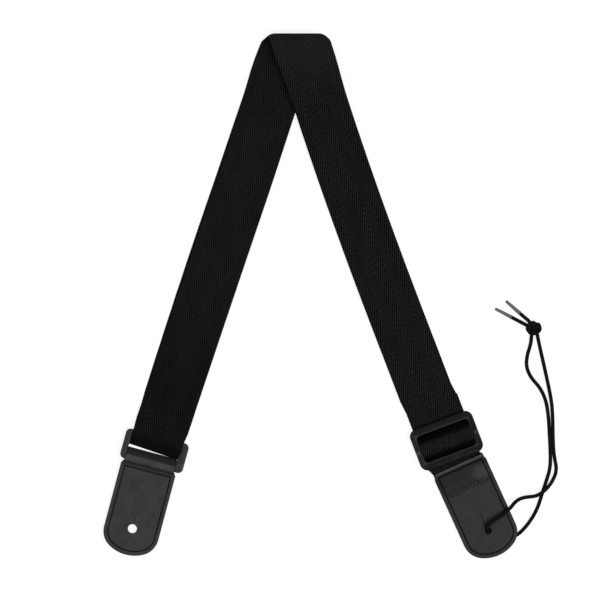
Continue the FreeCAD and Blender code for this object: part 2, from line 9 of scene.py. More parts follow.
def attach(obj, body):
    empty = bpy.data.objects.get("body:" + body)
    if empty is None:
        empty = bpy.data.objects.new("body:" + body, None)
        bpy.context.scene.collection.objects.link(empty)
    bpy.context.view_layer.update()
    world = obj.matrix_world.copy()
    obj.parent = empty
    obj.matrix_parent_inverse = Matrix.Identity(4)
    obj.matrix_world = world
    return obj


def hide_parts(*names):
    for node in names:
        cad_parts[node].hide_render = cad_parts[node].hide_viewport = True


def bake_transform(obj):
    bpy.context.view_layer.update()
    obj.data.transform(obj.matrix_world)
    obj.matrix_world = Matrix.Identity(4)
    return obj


# A guitar strap lying doubled on a table. The script works in millimetres, turned into metres where
# a mesh, a curve or a call to the frame is made. Plan directions are given as a lean: degrees from
# +Y, positive leaning to +X. Each mesh carries its own piece's millimetres in the attribute "lay".

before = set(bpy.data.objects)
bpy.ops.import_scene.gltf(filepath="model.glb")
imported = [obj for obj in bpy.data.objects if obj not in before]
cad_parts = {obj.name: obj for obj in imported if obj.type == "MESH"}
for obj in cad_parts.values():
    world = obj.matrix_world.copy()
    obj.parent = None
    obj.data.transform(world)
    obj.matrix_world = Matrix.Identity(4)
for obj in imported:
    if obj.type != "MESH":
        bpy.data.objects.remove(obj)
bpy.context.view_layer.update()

# ---------------------------------------------------------------- sizes and places

WEB_WIDTH = 50.8
WEB_THICK = 1.2
LAYER_GAP = 0.1
MOVING_GAP = 0.3
LAYER = WEB_THICK + LAYER_GAP
LOW_MID = WEB_THICK / 2
HIGH_MID = LOW_MID + LAYER
THROUGH_MID = LOW_MID + 2 * LAYER

FOLD_Y = 454.5
FOLD_LEVEL = 7.65
FOLD_SHIFT = 8.2
LEFT_LEAN = 18.7
LEFT_LOWER_BOW = 2.5
LEFT_UPPER_BOW = 0.5
TOP_BULGE = 1.2
RIGHT_LEAN_TOP = 16.9
RIGHT_LEAN_LOW = 21.3
RIGHT_BEND_LENGTH = 260.0
LEG_CLEARANCE = 0.6

RING_BAR_AT = Vector((24.0, 84.6, 0))
RING_LEAN = 15.5
RING_HEIGHT = 28.6
RING_BAR = 4.2
RING_RAIL = 5.4
RING_LENGTH = 60.6
RING_CORNER = 4.6
RING_BAR_LEVEL = 3.6
TURN_LENGTH = 25.0
TURN_TIP = -11.7
ROLL_RADIUS = 1.9

LEATHER = 1.1
CORE = 1.2
TAB_THICK = 2 * LEATHER + CORE
TAB_WIDTH = 52.4
TAB_BELOW = 25.0
TAB_CORNER = 19.0
TAB_END = 34.0
HOLE_RADIUS = 4.25
PULLED_HOLE = 3.0
PULLED_CORE_HOLE = 0.5
SLIT_TOP = 14.5
STITCH_INSET = 4.0
STITCH_PITCH = 3.2
BOARD_INSET = 0.8

LEFT_TAB_LEAN = 14.9
LEFT_STITCH_TOP = 55.5
LEFT_SHOULDER = 58.3
LEFT_NECK = 61.4
LEFT_NECK_HALF = 24.6
LEFT_ROLL_TIP = 73.5
ROLL_STEP = 0.6

SLIDER_Y = 82.4
SLIDER_ASIDE = 1.8
SLIDER_LEAN = -20.8
SLIDER_LENGTH = 61.9
SLIDER_HEIGHT = 40.2
SLIDER_THICK = 3.8
SLIDER_CORNER = 7.0
SLIDER_RAIL = 7.0
SLIDER_SIDE = 5.35
SLIDER_LEVEL = 3 * LAYER - LAYER_GAP + MOVING_GAP
SLIDER_WINDOW_X = SLIDER_LENGTH / 2 - SLIDER_SIDE
SLIDER_WINDOW_Y = SLIDER_HEIGHT / 2 - SLIDER_RAIL
BAR_LEVEL = SLIDER_LEVEL + 0.2
BAR_HALF = 2.5
BAR_THICK = 2.6
SEAM_Y = SLIDER_HEIGHT / 2 - SLIDER_RAIL / 2
END_TAIL = 36.0
END_REACH = 38.0

HOLE_FROM_SLIDER = Vector((38.9, -84.0, 0))
RIGHT_TAB_LEAN = -24.3
RIGHT_TAB_TILT = 2.03
RIGHT_TAB_LIFT = 3.6
RIGHT_TAB_TOP = 67.8
RIGHT_CHAMFER = 2.6
RIGHT_STITCH_TOP = 63.7
SEWN_IN = 16.0

CORD_RADIUS = 1.6
BRAID_SWELL = 0.2


def metres(point):
    return Vector(point) * 0.001


def along(lean):
    """Unit plan direction for a lean."""
    return Vector((math.sin(math.radians(lean)), math.cos(math.radians(lean)), 0))


def across(lean):
    """Unit plan direction to the right of a lean."""
    return Vector((math.cos(math.radians(lean)), -math.sin(math.radians(lean)), 0))


def placed(origin, lean, tilt=0.0):
    """Matrix whose own +Y points along the lean, dipping by tilt degrees."""
    turn = Matrix.Rotation(math.radians(-lean), 4, "Z") @ Matrix.Rotation(math.radians(-tilt), 4, "X")
    return Matrix.Translation(origin) @ turn


def smooth_step(low, high, value):
    """0 at low, 1 at high and smooth between; low may be the larger."""
    part = min(max((value - low) / (high - low), 0.0), 1.0)
    return part * part * (3 - 2 * part)


def left_centre(y, bow):
    """Centre of the left leg at a plan height; the bow moves its middle to the left."""
    x = RING_BAR_AT.x + (y - RING_BAR_AT.y) * math.tan(math.radians(LEFT_LEAN))
    part = (y - RING_BAR_AT.y) / (FOLD_Y - RING_BAR_AT.y)
    shoulder = TOP_BULGE * smooth_step(0.62, 0.9, part) * smooth_step(1.0, 0.93, part)
    return x - bow * math.sin(math.pi * part) - shoulder


LEFT_TOP_X = left_centre(FOLD_Y, 0.0)
RIGHT_TOP_X = LEFT_TOP_X + FOLD_SHIFT


def right_slope(down):
    """How far the right leg goes to the right for each millimetre down from the fold."""
    top = math.tan(math.radians(RIGHT_LEAN_TOP))
    low = math.tan(math.radians(RIGHT_LEAN_LOW))
    return top + (low - top) * min(down / RIGHT_BEND_LENGTH, 1.0)


def right_centre(down):
    """Centre of the right leg at a distance down from the fold: a bend, then straight."""
    bent = min(down, RIGHT_BEND_LENGTH)
    mean = (right_slope(0) + right_slope(bent)) / 2
    return RIGHT_TOP_X + mean * bent + right_slope(down) * max(down - bent, 0.0)


def right_level(down):
    """Middle level of the two layers: off the fold, over the left leg, down to the table."""
    rest = (LOW_MID + HIGH_MID) / 2
    top = 2 * FOLD_LEVEL - rest
    over = 2 * LAYER + rest + LEG_CLEARANCE
    knots = [(0, top), (18, top - 0.5), (48, (top + over) / 2 + 0.6), (86, over + 0.2),
             (125, rest + 0.9), (160, rest)]
    for (d0, z0), (d1, z1) in zip(knots, knots[1:]):
        if down <= d1:
            return z0 + (z1 - z0) * (down - d0) / (d1 - d0)
    return rest


LEFT_TAB = placed(Vector((0, 0, 0)), LEFT_TAB_LEAN)
TURN = placed(RING_BAR_AT, LEFT_LEAN)
RING_CENTRE = RING_BAR_AT - along(RING_LEAN) * (RING_HEIGHT - RING_BAR) / 2
RING = placed(RING_CENTRE + Vector((0, 0, RING_BAR_LEVEL - RING_BAR / 2)), RING_LEAN)
SLIDER_AT = Vector((right_centre(FOLD_Y - SLIDER_Y) + SLIDER_ASIDE, SLIDER_Y, 0))
SLIDER = placed(SLIDER_AT, SLIDER_LEAN)
RIGHT_HOLE = SLIDER_AT + HOLE_FROM_SLIDER
RIGHT_TAB = placed(RIGHT_HOLE + Vector((0, 0, RIGHT_TAB_LIFT)), RIGHT_TAB_LEAN, RIGHT_TAB_TILT)

# ---------------------------------------------------------------- camera

VIEW_CENTRE = (156.55, 213.6)
VIEW_WIDTH = 560.8
CAMERA_HEIGHT = 2600.0

camera_data = bpy.data.cameras.new("camera")
camera_data.lens = camera_data.sensor_width * CAMERA_HEIGHT / VIEW_WIDTH
camera_data.clip_end = 20
camera = bpy.data.objects.new("camera", camera_data)
camera.location = metres((*VIEW_CENTRE, CAMERA_HEIGHT))
bpy.context.scene.collection.objects.link(camera)
bpy.context.scene.camera = camera

# ---------------------------------------------------------------- mesh helpers


def new_mesh(name, points, faces, lay=None):
    """Mesh object from points in millimetres, with its own coordinates kept in "lay"."""
    mesh = bpy.data.meshes.new(name)
    mesh.from_pydata([metres(p) for p in points], [], faces)
    mesh.shade_smooth()
    values = points if lay is None else lay
    attribute = mesh.attributes.new("lay", "FLOAT_VECTOR", "POINT")
    attribute.data.foreach_set("vector", [float(c) for value in values for c in value])
    mesh.validate()
    piece = bpy.data.objects.new(name, mesh)
    bpy.context.scene.collection.objects.link(piece)
    return piece


def grid_faces(rows, columns, closed=False, first=0, flip=False):
    """Quads over rows of points; closed joins each row's end to its start."""
    faces = []
    for r in range(rows - 1):
        for c in range(columns if closed else columns - 1):
            d = (c + 1) % columns
            low, high = first + r * columns, first + (r + 1) * columns
            quad = (low + c, low + d, high + d, high + c)
            faces.append(quad[::-1] if flip else quad)
    return faces


def round_corners(points, times=2):
    """Cuts each corner of an open line of points, so that it bends gently."""
    for _ in range(times):
        cut = [points[0]]
        for before, after in zip(points, points[1:]):
            cut += [before.lerp(after, 0.25), before.lerp(after, 0.75)]
        points = cut[:1] + cut[2:-1] + [points[-1]]
    return points


# ---------------------------------------------------------------- tie cord

# routes given in plan from the right tab's hole and in height from the table:
# out of the hole, over and under the tab, to the knot
FRONT_ROUTE = [
    (-0.4, 0.8, 6.0), (-2.4, 3.8, 12.0), (3.0, 8.8, 11.4), (10.8, 13.4, 9.9),
    (19.8, 20.6, 9.5), (26.4, 28.2, 4.4), (34.5, 31.2, 2.4), (44.8, 32.2, 8.0),
    (53.4, 38.0, 8.0), (60.6, 46.2, 2.4), (64.6, 56.6, 1.6), (62.0, 68.6, 1.6),
    (60.9, 82.6, 1.6), (60.7, 100.6, 1.6), (60.0, 117.6, 1.6), (56.8, 134.6, 1.6),
    (53.0, 151.6, 1.6), (49.4, 167.6, 1.6), (46.9, 178.6, 2.6), (45.4, 185.8, 4.4),
]
BACK_ROUTE = [
    (-0.4, 0.8, 6.0), (1.0, -1.3, 1.8), (7.4, -3.2, 1.6), (15.5, -5.6, 1.6),
    (25.4, -6.0, 1.6), (33.6, 1.0, 1.6), (41.2, 11.0, 1.6), (47.0, 22.0, 1.6),
    (50.6, 34.2, 1.6), (54.6, 46.0, 1.6), (58.4, 58.6, 1.6), (58.5, 73.6, 1.6),
    (57.5, 91.6, 1.6), (56.6, 107.6, 1.6), (54.2, 122.0, 1.6), (48.6, 133.6, 1.6),
    (40.4, 142.4, 1.6), (35.8, 152.6, 1.6), (36.6, 163.2, 1.6), (39.8, 173.0, 1.6),
    (40.6, 179.0, 2.6), (40.9, 185.0, 4.0),
]


def spline_points(route):
    """Points along the smooth line that a route's points control."""
    data = bpy.data.curves.new("route", "CURVE")
    data.dimensions = "3D"
    data.resolution_u = 14
    spline = data.splines.new("NURBS")
    spline.points.add(len(route) - 1)
    for knot, point in zip(spline.points, route):
        knot.co = (*(RIGHT_HOLE + Vector(point)), 1.0)
    spline.order_u = 3
    spline.use_endpoint_u = True
    holder = bpy.data.objects.new("route", data)
    line = bpy.data.meshes.new_from_object(holder)
    points = [v.co.copy() for v in line.vertices]
    bpy.data.objects.remove(holder)
    return points


def spaced(points, step):
    """Points at an even spacing along a line of points."""
    runs = [0.0]
    for before, after in zip(points, points[1:]):
        runs.append(runs[-1] + (after - before).length)
    count = max(int(runs[-1] / step), 2)
    result, k = [], 0
    for i in range(count + 1):
        at = runs[-1] * i / count
        while k < len(runs) - 2 and runs[k + 1] < at:
            k += 1
        part = (at - runs[k]) / max(runs[k + 1] - runs[k], 1e-9)
        result.append(points[k].lerp(points[k + 1], part))
    return result


BRAID_STRANDS = 8
BRAID_PITCH = 7.0
BRAID_DEPTH = 0.16


def braid(angle, run):
    """How far the braid's surface lies inside the cord's radius."""
    left = math.sin(BRAID_STRANDS / 2 * angle + 2 * math.pi * run / BRAID_PITCH)
    right = math.sin(BRAID_STRANDS / 2 * angle - 2 * math.pi * run / BRAID_PITCH)
    return BRAID_DEPTH * (0.5 - 0.5 * max(abs(left), abs(right)) ** 3 + 0.25 * abs(left * right))


def tube_points(line, radius_at, sides):
    """Rings of points round a line, turned as little as possible from one to the next."""
    tangents = []
    for i in range(len(line)):
        tangents.append((line[min(i + 1, len(line) - 1)] - line[max(i - 1, 0)]).normalized())
    side = tangents[0].orthogonal().normalized()
    points, lay, run = [], [], 0.0
    for i, (centre, tangent) in enumerate(zip(line, tangents)):
        if i:
            side = tangents[i - 1].rotation_difference(tangent) @ side
            run += (centre - line[i - 1]).length
        side = (side - tangent * side.dot(tangent)).normalized()
        up = tangent.cross(side)
        for k in range(sides):
            angle = 2 * math.pi * k / sides
            radius = radius_at(angle, run)
            points.append(centre + (side * math.cos(angle) + up * math.sin(angle)) * radius)
            lay.append((angle, run, radius))
    return points, lay


CORD_SIDES = 20
CORD_STEP = 0.45


def cord_rings(line):
    """The braided cord's (points, lay) along a line, nowhere below the table."""
    rings = tube_points(line, lambda angle, run: CORD_RADIUS + BRAID_SWELL - braid(angle, run),
                        CORD_SIDES)
    return resting(rings)


def resting(rings):
    """Keeps a tube's points from going below the table."""
    points, lay = rings
    return [Vector((p.x, p.y, max(p.z, 0.0))) for p in points], lay


def capped_tube(name, parts, sides):
    """One mesh from several (points, lay) tubes, each closed at both ends."""
    points, lay, faces = [], [], []
    for part_points, part_lay in parts:
        first, rows = len(points), len(part_points) // sides
        points += part_points
        lay += part_lay
        faces += grid_faces(rows, sides, closed=True, first=first)
        faces.append(tuple(reversed(range(first, first + sides))))
        faces.append(tuple(range(first + (rows - 1) * sides, first + rows * sides)))
    return new_mesh(name, points, faces, lay)


def tie_cord(name, route):
    """One strand of the tie cord, and the line it follows."""
    line = spaced(spline_points(route), CORD_STEP)
    return capped_tube(name, [cord_rings(line)], CORD_SIDES), line


cord_front, front_line = tie_cord("cord_front", FRONT_ROUTE)
cord_back, back_line = tie_cord("cord_back", BACK_ROUTE)

# the doubled cord's way round the overhand knot, from the knot's centre
KNOT_CENTRE = Vector((42.6, 189.1, 4.6))
KNOT_PATH = [
    (0.5, -4.4, -0.4), (0.9, 0.2, -0.9), (2.2, 4.6, 0.6), (-2.6, 4.2, 2.7), (-6.0, -0.6, 1.8),
    (-3.6, -4.6, -1.2), (1.2, -4.6, -2.4), (6.0, -1.4, -1.2), (5.2, 2.8, 1.7), (0.6, 1.4, 2.6),
    (-1.8, -0.2, 0.6), (-4.2, 2.4, -0.6),
]
STRAND_SPREAD = 1.6
KNOT_STEP = 0.4
UPPER_TAIL = [(39.0, 194.4, 4.2), (36.9, 196.8, 3.0), (33.6, 199.6, 1.6), (29.5, 203.2, 1.6)]
LOWER_TAIL = [(36.6, 191.5, 4.0), (32.4, 193.6, 2.6), (27.6, 196.2, 1.6), (21.7, 199.3, 1.6)]


def knot_strand(entry, side, tail):
    """One cord's way through the knot, beside the other one, and on to its tip."""
    path = [Vector(p) for p in KNOT_PATH]
    points = [Vector(entry)]
    for before, here, after in zip(path, path[1:], path[2:]):
        beside = (after - before).cross(here).normalized() * side * STRAND_SPREAD
        points.append(KNOT_CENTRE + here + beside)
    return points + [Vector(p) for p in tail]


def knot():
    """Both strands through the overhand knot and on to the sleeves."""
    strands = [knot_strand(FRONT_ROUTE[-1], 1, UPPER_TAIL), knot_strand(BACK_ROUTE[-1], -1, LOWER_TAIL)]
    rings = [cord_rings(spaced(spline_points(strand), KNOT_STEP)) for strand in strands]
    return capped_tube("cord_knot", rings, CORD_SIDES)


AGLET_LENGTH = 17.4
AGLET_OVERLAP = 0.6
AGLET_MOUTH, AGLET_TIP = 1.86, 1.42
AGLET_ROUND = 0.045
AGLET_RINGS, AGLET_SIDES = 70, 24


def aglet_radius(angle, run):
    """A sleeve with a lip at its mouth, slight ripples, a taper and a round end."""
    part = run / AGLET_LENGTH
    body = AGLET_MOUTH + (AGLET_TIP - AGLET_MOUTH) * part
    lip = 0.07 * math.exp(-(run / 0.5) ** 2)
    ripple = 0.03 * math.sin(run * 2.1 + math.sin(angle))
    tip = 1 - max(0.0, (part - 1 + AGLET_ROUND) / AGLET_ROUND) ** 2.5 * 0.55
    return (body + lip + ripple) * tip


def aglet(name, tail):
    """Clear shrunk sleeve over a cord's tip, in line with the cord's last stretch."""
    start, end = (RIGHT_HOLE + Vector(p) for p in tail[-2:])
    heading = (end - start).normalized()
    line = [end + heading * (AGLET_LENGTH * i / AGLET_RINGS - AGLET_OVERLAP)
            for i in range(AGLET_RINGS + 1)]
    return capped_tube(name, [resting(tube_points(line, aglet_radius, AGLET_SIDES))], AGLET_SIDES)


cord_knot = knot()
aglet_upper = aglet("sleeve_upper", UPPER_TAIL)
aglet_lower = aglet("sleeve_lower", LOWER_TAIL)

# ---------------------------------------------------------------- webbing

STRIPE = WEB_WIDTH / 5
TWILL = math.radians(21)
RIB_PITCH = 1.95
RIB_DEPTH = 0.24
TOOTH_PITCH = 2.9
TOOTH_DEPTH = 0.38
FINE_COLUMNS = 100
PLAIN_COLUMNS = 10
EDGE_ROUND = 0.9
PLAIN_INSET = 0.2


def stripe_fold(u):
    """Distance across the webbing folded back and forth at each stripe of the herringbone."""
    place = (u + WEB_WIDTH / 2) % (2 * STRIPE)
    return place if place < STRIPE else 2 * STRIPE - place


def rib_drop(u, v):
    """How far the herringbone's surface lies under its ribs' tops."""
    phase = (stripe_fold(u) * math.cos(TWILL) - v * math.sin(TWILL)) / RIB_PITCH
    return RIB_DEPTH * (1 - abs(math.sin(math.pi * phase)) ** 0.7)


CORNER_DROP = 1.5
FOLD_FLARE = 2.0


def flared(point, beside):
    """The strap's sides flare beside the fold and its corners are pressed round."""
    near = smooth_step(FOLD_Y - 54, FOLD_Y - 10, point.y) * smooth_step(FOLD_Y + 9, FOLD_Y + 1, point.y)
    share = beside * 2 / WEB_WIDTH
    gain = FOLD_FLARE if share < 0 else FOLD_FLARE * 0.6
    corner = max(0.0, abs(share) - 0.8) / 0.2
    drop = CORNER_DROP * corner ** 2 * smooth_step(FOLD_Y - 2, FOLD_Y + 7.6, point.y)
    return point + Vector((gain * near * share ** 3, -drop, 0))


def strip_normals(rows):
    """Outward direction at each row of a strip."""
    normals = []
    for i, (_, side, _) in enumerate(rows):
        tangent = rows[min(i + 1, len(rows) - 1)][0] - rows[max(i - 1, 0)][0]
        normals.append(side.cross(tangent).normalized())
    return normals


def ribbed_point(centre, side, skew, normal, u, v):
    """A point of the ribbed side, with its edge rounded and toothed by the weft's loops."""
    half = WEB_WIDTH / 2
    edge = max(0.0, (abs(u) - half + EDGE_ROUND) / EDGE_ROUND)
    tooth = TOOTH_DEPTH * edge * (0.5 - 0.5 * math.cos(2 * math.pi * v / TOOTH_PITCH))
    rise = WEB_THICK / 2 * math.sqrt(1 - 0.9 * edge ** 2) - rib_drop(u, v)
    reach = (u - math.copysign(tooth, u)) / math.cos(skew)
    return flared(centre + side * reach + normal * rise, side.x * reach)


def plain_point(centre, side, skew, normal, u, at_edge):
    """A point of the plain side, which rounds in at its edges."""
    reach = u / math.cos(skew)
    return flared(centre + side * reach - normal * (WEB_THICK / 2 * (0.35 if at_edge else 1.0)),
                  side.x * reach)


def strip_faces(count):
    """Faces of a closed strip: its ribbed side, its plain side, both edges and both ends."""
    first_plain = count * FINE_COLUMNS
    faces = grid_faces(count, FINE_COLUMNS)
    faces += grid_faces(count, PLAIN_COLUMNS, first=first_plain, flip=True)
    fine = [(r * FINE_COLUMNS, (r + 1) * FINE_COLUMNS - 1) for r in range(count)]
    plain = [(first_plain + r * PLAIN_COLUMNS, first_plain + (r + 1) * PLAIN_COLUMNS - 1)
             for r in range(count)]
    for r in range(count - 1):
        faces.append((fine[r][0], fine[r + 1][0], plain[r + 1][0], plain[r][0]))
        faces.append((fine[r + 1][1], fine[r][1], plain[r][1], plain[r + 1][1]))
    for r, facing_on in ((0, False), (count - 1, True)):
        end = list(range(fine[r][1], fine[r][0] - 1, -1))
        end += list(range(plain[r][0], plain[r][1] + 1))
        faces.append(tuple(reversed(end)) if facing_on else tuple(end))
    return faces


def webbing(name, rows, v_start=0.0, tone=None):
    """Closed strip through rows of (centre, row direction, skew), and the run at its end.

    The ribs are on its outer side. A skewed row isn't square to the strip: its skew is the angle
    by which it is turned. The third number of "lay" is a lightness painted on the ribbed side there:
    painted shade and highlights at the fold and the slider's hump, and darkening on the left leg.
    """
    runs = [v_start]
    for (c0, _, _), (c1, _, _) in zip(rows, rows[1:]):
        runs.append(runs[-1] + (c1 - c0).length)
    points, lay = [], []
    half = WEB_WIDTH / 2
    for (centre, side, skew), normal, run in zip(rows, strip_normals(rows), runs):
        for c in range(FINE_COLUMNS):
            u = half * (2 * c / (FINE_COLUMNS - 1) - 1)
            v = run + u * math.tan(skew)
            points.append(ribbed_point(centre, side, skew, normal, u, v))
            lay.append((u, v, tone(centre) if tone else 1.0))
    for (centre, side, skew), normal, run in zip(rows, strip_normals(rows), runs):
        for c in range(PLAIN_COLUMNS):
            u = (half - PLAIN_INSET) * (2 * c / (PLAIN_COLUMNS - 1) - 1)
            at_edge = c in (0, PLAIN_COLUMNS - 1)
            points.append(plain_point(centre, side, skew, normal, u, at_edge))
            lay.append((u, run + u * math.tan(skew), 1.0))
    return new_mesh(name, points, strip_faces(len(rows)), lay), runs[-1]


def laid_rows(stations, step):
    """Rows at an even spacing between stations of (centre, lean, share of the lean skewed)."""
    rows = []
    for (c0, lean0, skew0), (c1, lean1, skew1) in zip(stations, stations[1:]):
        count = max(int((c1 - c0).length / step), 1)
        for i in range(count):
            part = i / count
            lean = lean0 + (lean1 - lean0) * part
            skew = skew0 + (skew1 - skew0) * part
            rows.append((c0.lerp(c1, part), across(lean * (1 - skew)), math.radians(lean * skew)))
    centre, lean, skew = stations[-1]
    rows.append((centre, across(lean * (1 - skew)), math.radians(lean * skew)))
    return rows


def profile_rows(place, profile, step):
    """Rows square to a strip that follows (y, z) points in a place's own frame."""
    side = (place.to_3x3() @ Vector((1, 0, 0))).normalized()
    line = spaced([place @ Vector((0, y, z)) for y, z in profile], step)
    return [(centre, side, 0.0) for centre in line]


def half_turn(y, z, radius, side, steps=10):
    """Half circle about (y, z), from its bottom to its top, round the given side."""
    angles = [math.pi * i / steps for i in range(steps + 1)]
    return [(y + side * radius * math.sin(a), z - radius * math.cos(a)) for a in angles]


def rounded_profile(profile, times=2):
    """A profile of (y, z) points with its corners cut to gentle bends."""
    return [(p.x, p.y) for p in round_corners([Vector((y, z, 0)) for y, z in profile], times)]


FINE_STEP = 0.72
HIDDEN_STEP = 1.5
LOWER_STEP = 0.9
LOOP_STEP = 0.8
HUMP_STEP = 0.5
LEG_SKEW_LENGTH = 130.0
LEG_STATIONS = 24


def turned(rows):
    """Rows of a strip whose outer side is underneath, which turns its skew round."""
    return [(centre, side, -skew) for centre, side, skew in rows]


def left_stations(level, bow):
    """The left leg from its ring end up to the fold, where its rows lie along X."""
    bottom = TURN @ Vector((0, TURN_LENGTH, level))
    stations = [(bottom, LEFT_LEAN, 0.0)]
    for i in range(1, LEG_STATIONS + 1):
        y = bottom.y + (FOLD_Y - bottom.y) * i / LEG_STATIONS
        skew = smooth_step(FOLD_Y - LEG_SKEW_LENGTH, FOLD_Y, y)
        stations.append((Vector((left_centre(y, bow), y, level)), LEFT_LEAN, skew))
    return stations


def bunched(centre):
    """Share of its width that the webbing keeps where it draws together at the ring's bar."""
    y = (TURN.inverted() @ centre).y
    return 1 - 0.035 * smooth_step(14, 0, y)


def left_darkening(centre):
    """Darker towards the leg's low end, and most of all at the turn round the ring, which is painted shade
    where the webbing bends round the ring's bar.
    """
    y = (TURN.inverted() @ centre).y
    return (1 - 0.35 * smooth_step(6, -8, y)) * (1 - 0.25 * smooth_step(150, 60, y))


def fold_highlight(centre):
    """Paler along the fold: a painted highlight where the fold faces up to the light."""
    return 1 + 0.7 * smooth_step(FOLD_Y - 60, FOLD_Y, centre.y)


def left_webbing():
    """The left leg's lower layer, its turn round the ring's bar and its upper layer."""
    lower = turned(laid_rows(left_stations(LOW_MID, LEFT_LOWER_BOW), HIDDEN_STEP)[::-1])
    over_bar = RING_BAR_LEVEL + RING_BAR / 2 + MOVING_GAP + WEB_THICK / 2
    profile = [(TURN_LENGTH, LOW_MID), (TURN_TIP, LOW_MID)]
    profile += half_turn(TURN_TIP, ROLL_RADIUS, ROLL_RADIUS - WEB_THICK / 2, -1)[1:]
    top = [profile[-1], (-RING_BAR / 2 - 1, over_bar), (RING_BAR / 2 + 1, over_bar),
           (TURN_LENGTH - 7, HIGH_MID), (TURN_LENGTH, HIGH_MID)]
    turn = [(centre, side * bunched(centre), skew) for centre, side, skew
            in profile_rows(TURN, profile[:-1] + rounded_profile(top), FINE_STEP)]
    upper = laid_rows(left_stations(HIGH_MID, LEFT_UPPER_BOW), FINE_STEP)
    return webbing("strap_left", lower + turn[1:-1] + upper, tone=left_darkening)


RIGHT_BOW = 0.7
SLIDER_SHIFT = 0.8


def right_station(down, side, extra=0.0):
    """A station of the right leg; side is 1 for its upper layer and -1 for its lower one."""
    lean = -math.degrees(math.atan(right_slope(down)))
    skew = 1 - smooth_step(0, LEG_SKEW_LENGTH, down)
    level = right_level(down) + side * LAYER / 2 + extra
    bow = RIGHT_BOW * math.sin(math.pi * min(down / 340, 1.0))
    bow -= SLIDER_SHIFT * smooth_step(322, 345, down)
    return (Vector((right_centre(down) + bow, FOLD_Y - down, level)), lean, skew)


TAIL_DOWN = FOLD_Y - (SLIDER @ Vector((0, END_TAIL + 12, 0))).y
RIGHT_DOWNS = [0, 18, 32, 48, 66, 86, 105, 125, 142, 160, 190, 220, 260, TAIL_DOWN - 26, TAIL_DOWN]


def slider_station(y, level):
    """A station in the slider's frame, which the leg enters a little to the left."""
    return (SLIDER @ Vector((-SLIDER_SHIFT * smooth_step(-8, 14, y), y, level)), SLIDER_LEAN, 0.0)


def tab_station(y, level):
    return (RIGHT_TAB @ Vector((0, y, level)), RIGHT_TAB_LEAN, 0.0)


def right_upper():
    """From inside the right tab, under the slider's hump, up to the fold."""
    core_mid = LEATHER + CORE / 2
    stations = [tab_station(RIGHT_TAB_TOP - SEWN_IN, core_mid), tab_station(RIGHT_TAB_TOP, core_mid)]
    stations += [slider_station(y, THROUGH_MID) for y in (-SLIDER_HEIGHT / 2 - 0.5, SEAM_Y, END_TAIL)]
    for down in reversed(RIGHT_DOWNS):
        # one layer higher as far up as the slider's own end loop can slide under it
        stations.append(right_station(down, 1, LAYER * smooth_step(135, 175, down)))
    return webbing("strap_right_upper", eased(laid_rows(stations, FINE_STEP)), tone=fold_highlight)


def eased(rows, reach=6):
    """Softens a strip's bends in height by averaging each row with its neighbours."""
    heights = [row[0].z for row in rows]
    result = []
    for i, (centre, side, skew) in enumerate(rows):
        span = min(reach, i, len(rows) - 1 - i)
        mean = sum(heights[i - span:i + span + 1]) / (2 * span + 1)
        result.append((Vector((centre.x, centre.y, mean)), side, skew))
    return result


def right_lower(v_start):
    """From the fold down to the slider, its ribs underneath."""
    stations = [right_station(down, -1, LAYER if down == TAIL_DOWN else 0.0) for down in RIGHT_DOWNS]
    stations.append(slider_station(END_REACH + MOVING_GAP, HIGH_MID))
    rows = turned(laid_rows(stations, LOWER_STEP))
    return webbing("strap_right_lower", eased(rows), v_start)[0]


def fold_rows(radius, start, stop, count):
    """Rows along X round the fold, from one angle to another; 0 is the fold's tip."""
    rows = []
    for i in range(count + 1):
        angle = start + (stop - start) * i / count
        part = (angle + 90) / 180
        y = FOLD_Y + radius * math.cos(math.radians(angle))
        z = FOLD_LEVEL + radius * math.sin(math.radians(angle))
        lean = LEFT_LEAN + (RIGHT_LEAN_TOP - LEFT_LEAN) * part
        rows.append((Vector((LEFT_TOP_X + FOLD_SHIFT * part, y, z)), Vector((1, 0, 0)),
                     math.radians(lean)))
    return rows


OUTER_RADIUS = FOLD_LEVEL - LOW_MID
INNER_RADIUS = FOLD_LEVEL - HIGH_MID

web_left, left_run = left_webbing()
web_right_upper, right_run = right_upper()
# the weave runs on from the right leg's upper layer round the outer fold,
# and from the left leg's upper layer round the inner fold to the right leg's lower layer
fold_outer_right, run = webbing("strap_fold_outer_right", turned(fold_rows(OUTER_RADIUS, 90, 0, 24)),
                                right_run, tone=fold_highlight)
fold_outer_left, run = webbing("strap_fold_outer_left", turned(fold_rows(OUTER_RADIUS, 0, -90, 24)),
                               run, tone=fold_highlight)
fold_inner_left, run = webbing("strap_fold_inner_left", fold_rows(INNER_RADIUS, -90, 0, 20), left_run)
fold_inner_right, run = webbing("strap_fold_inner_right", fold_rows(INNER_RADIUS, 0, 90, 20), run)
web_right_lower = right_lower(run)

# the webbing at the slider: a hump over the middle bar and the sewn end loop under it
BAR_TOP = BAR_LEVEL + BAR_THICK
LOOP_TOP = BAR_TOP + LAYER_GAP + WEB_THICK / 2
HUMP_TOP = LOOP_TOP + LAYER
RISE = SLIDER_WINDOW_Y - 0.9
HUMP_END = SEAM_Y - MOVING_GAP
HUMP_SPREAD = 1.02
HUMP_RUN = 22.0


def hump_shade_and_highlight(centre):
    """Painted shade where the hump dives under the slider's rails, and a painted highlight where it rises
    over its middle bar towards the light.
    """
    y = (SLIDER.inverted() @ centre).y
    return 0.12 + 1.05 * smooth_step(-9.5, -4.0, y) * smooth_step(8.0, 2.0, y)


def over_bar():
    """The hump of webbing over the slider's middle bar, spread a little by its bend."""
    profile = [(-HUMP_END, THROUGH_MID), (-RISE, THROUGH_MID), (-BAR_HALF - 1.7, HUMP_TOP),
               (BAR_HALF + 1.7, HUMP_TOP), (RISE, THROUGH_MID), (HUMP_END, THROUGH_MID)]
    rows = [(centre, side * HUMP_SPREAD, skew) for centre, side, skew
            in profile_rows(SLIDER, rounded_profile(profile, 3), HUMP_STEP)]
    return webbing("strap_hump", rows, HUMP_RUN, tone=hump_shade_and_highlight)[0]


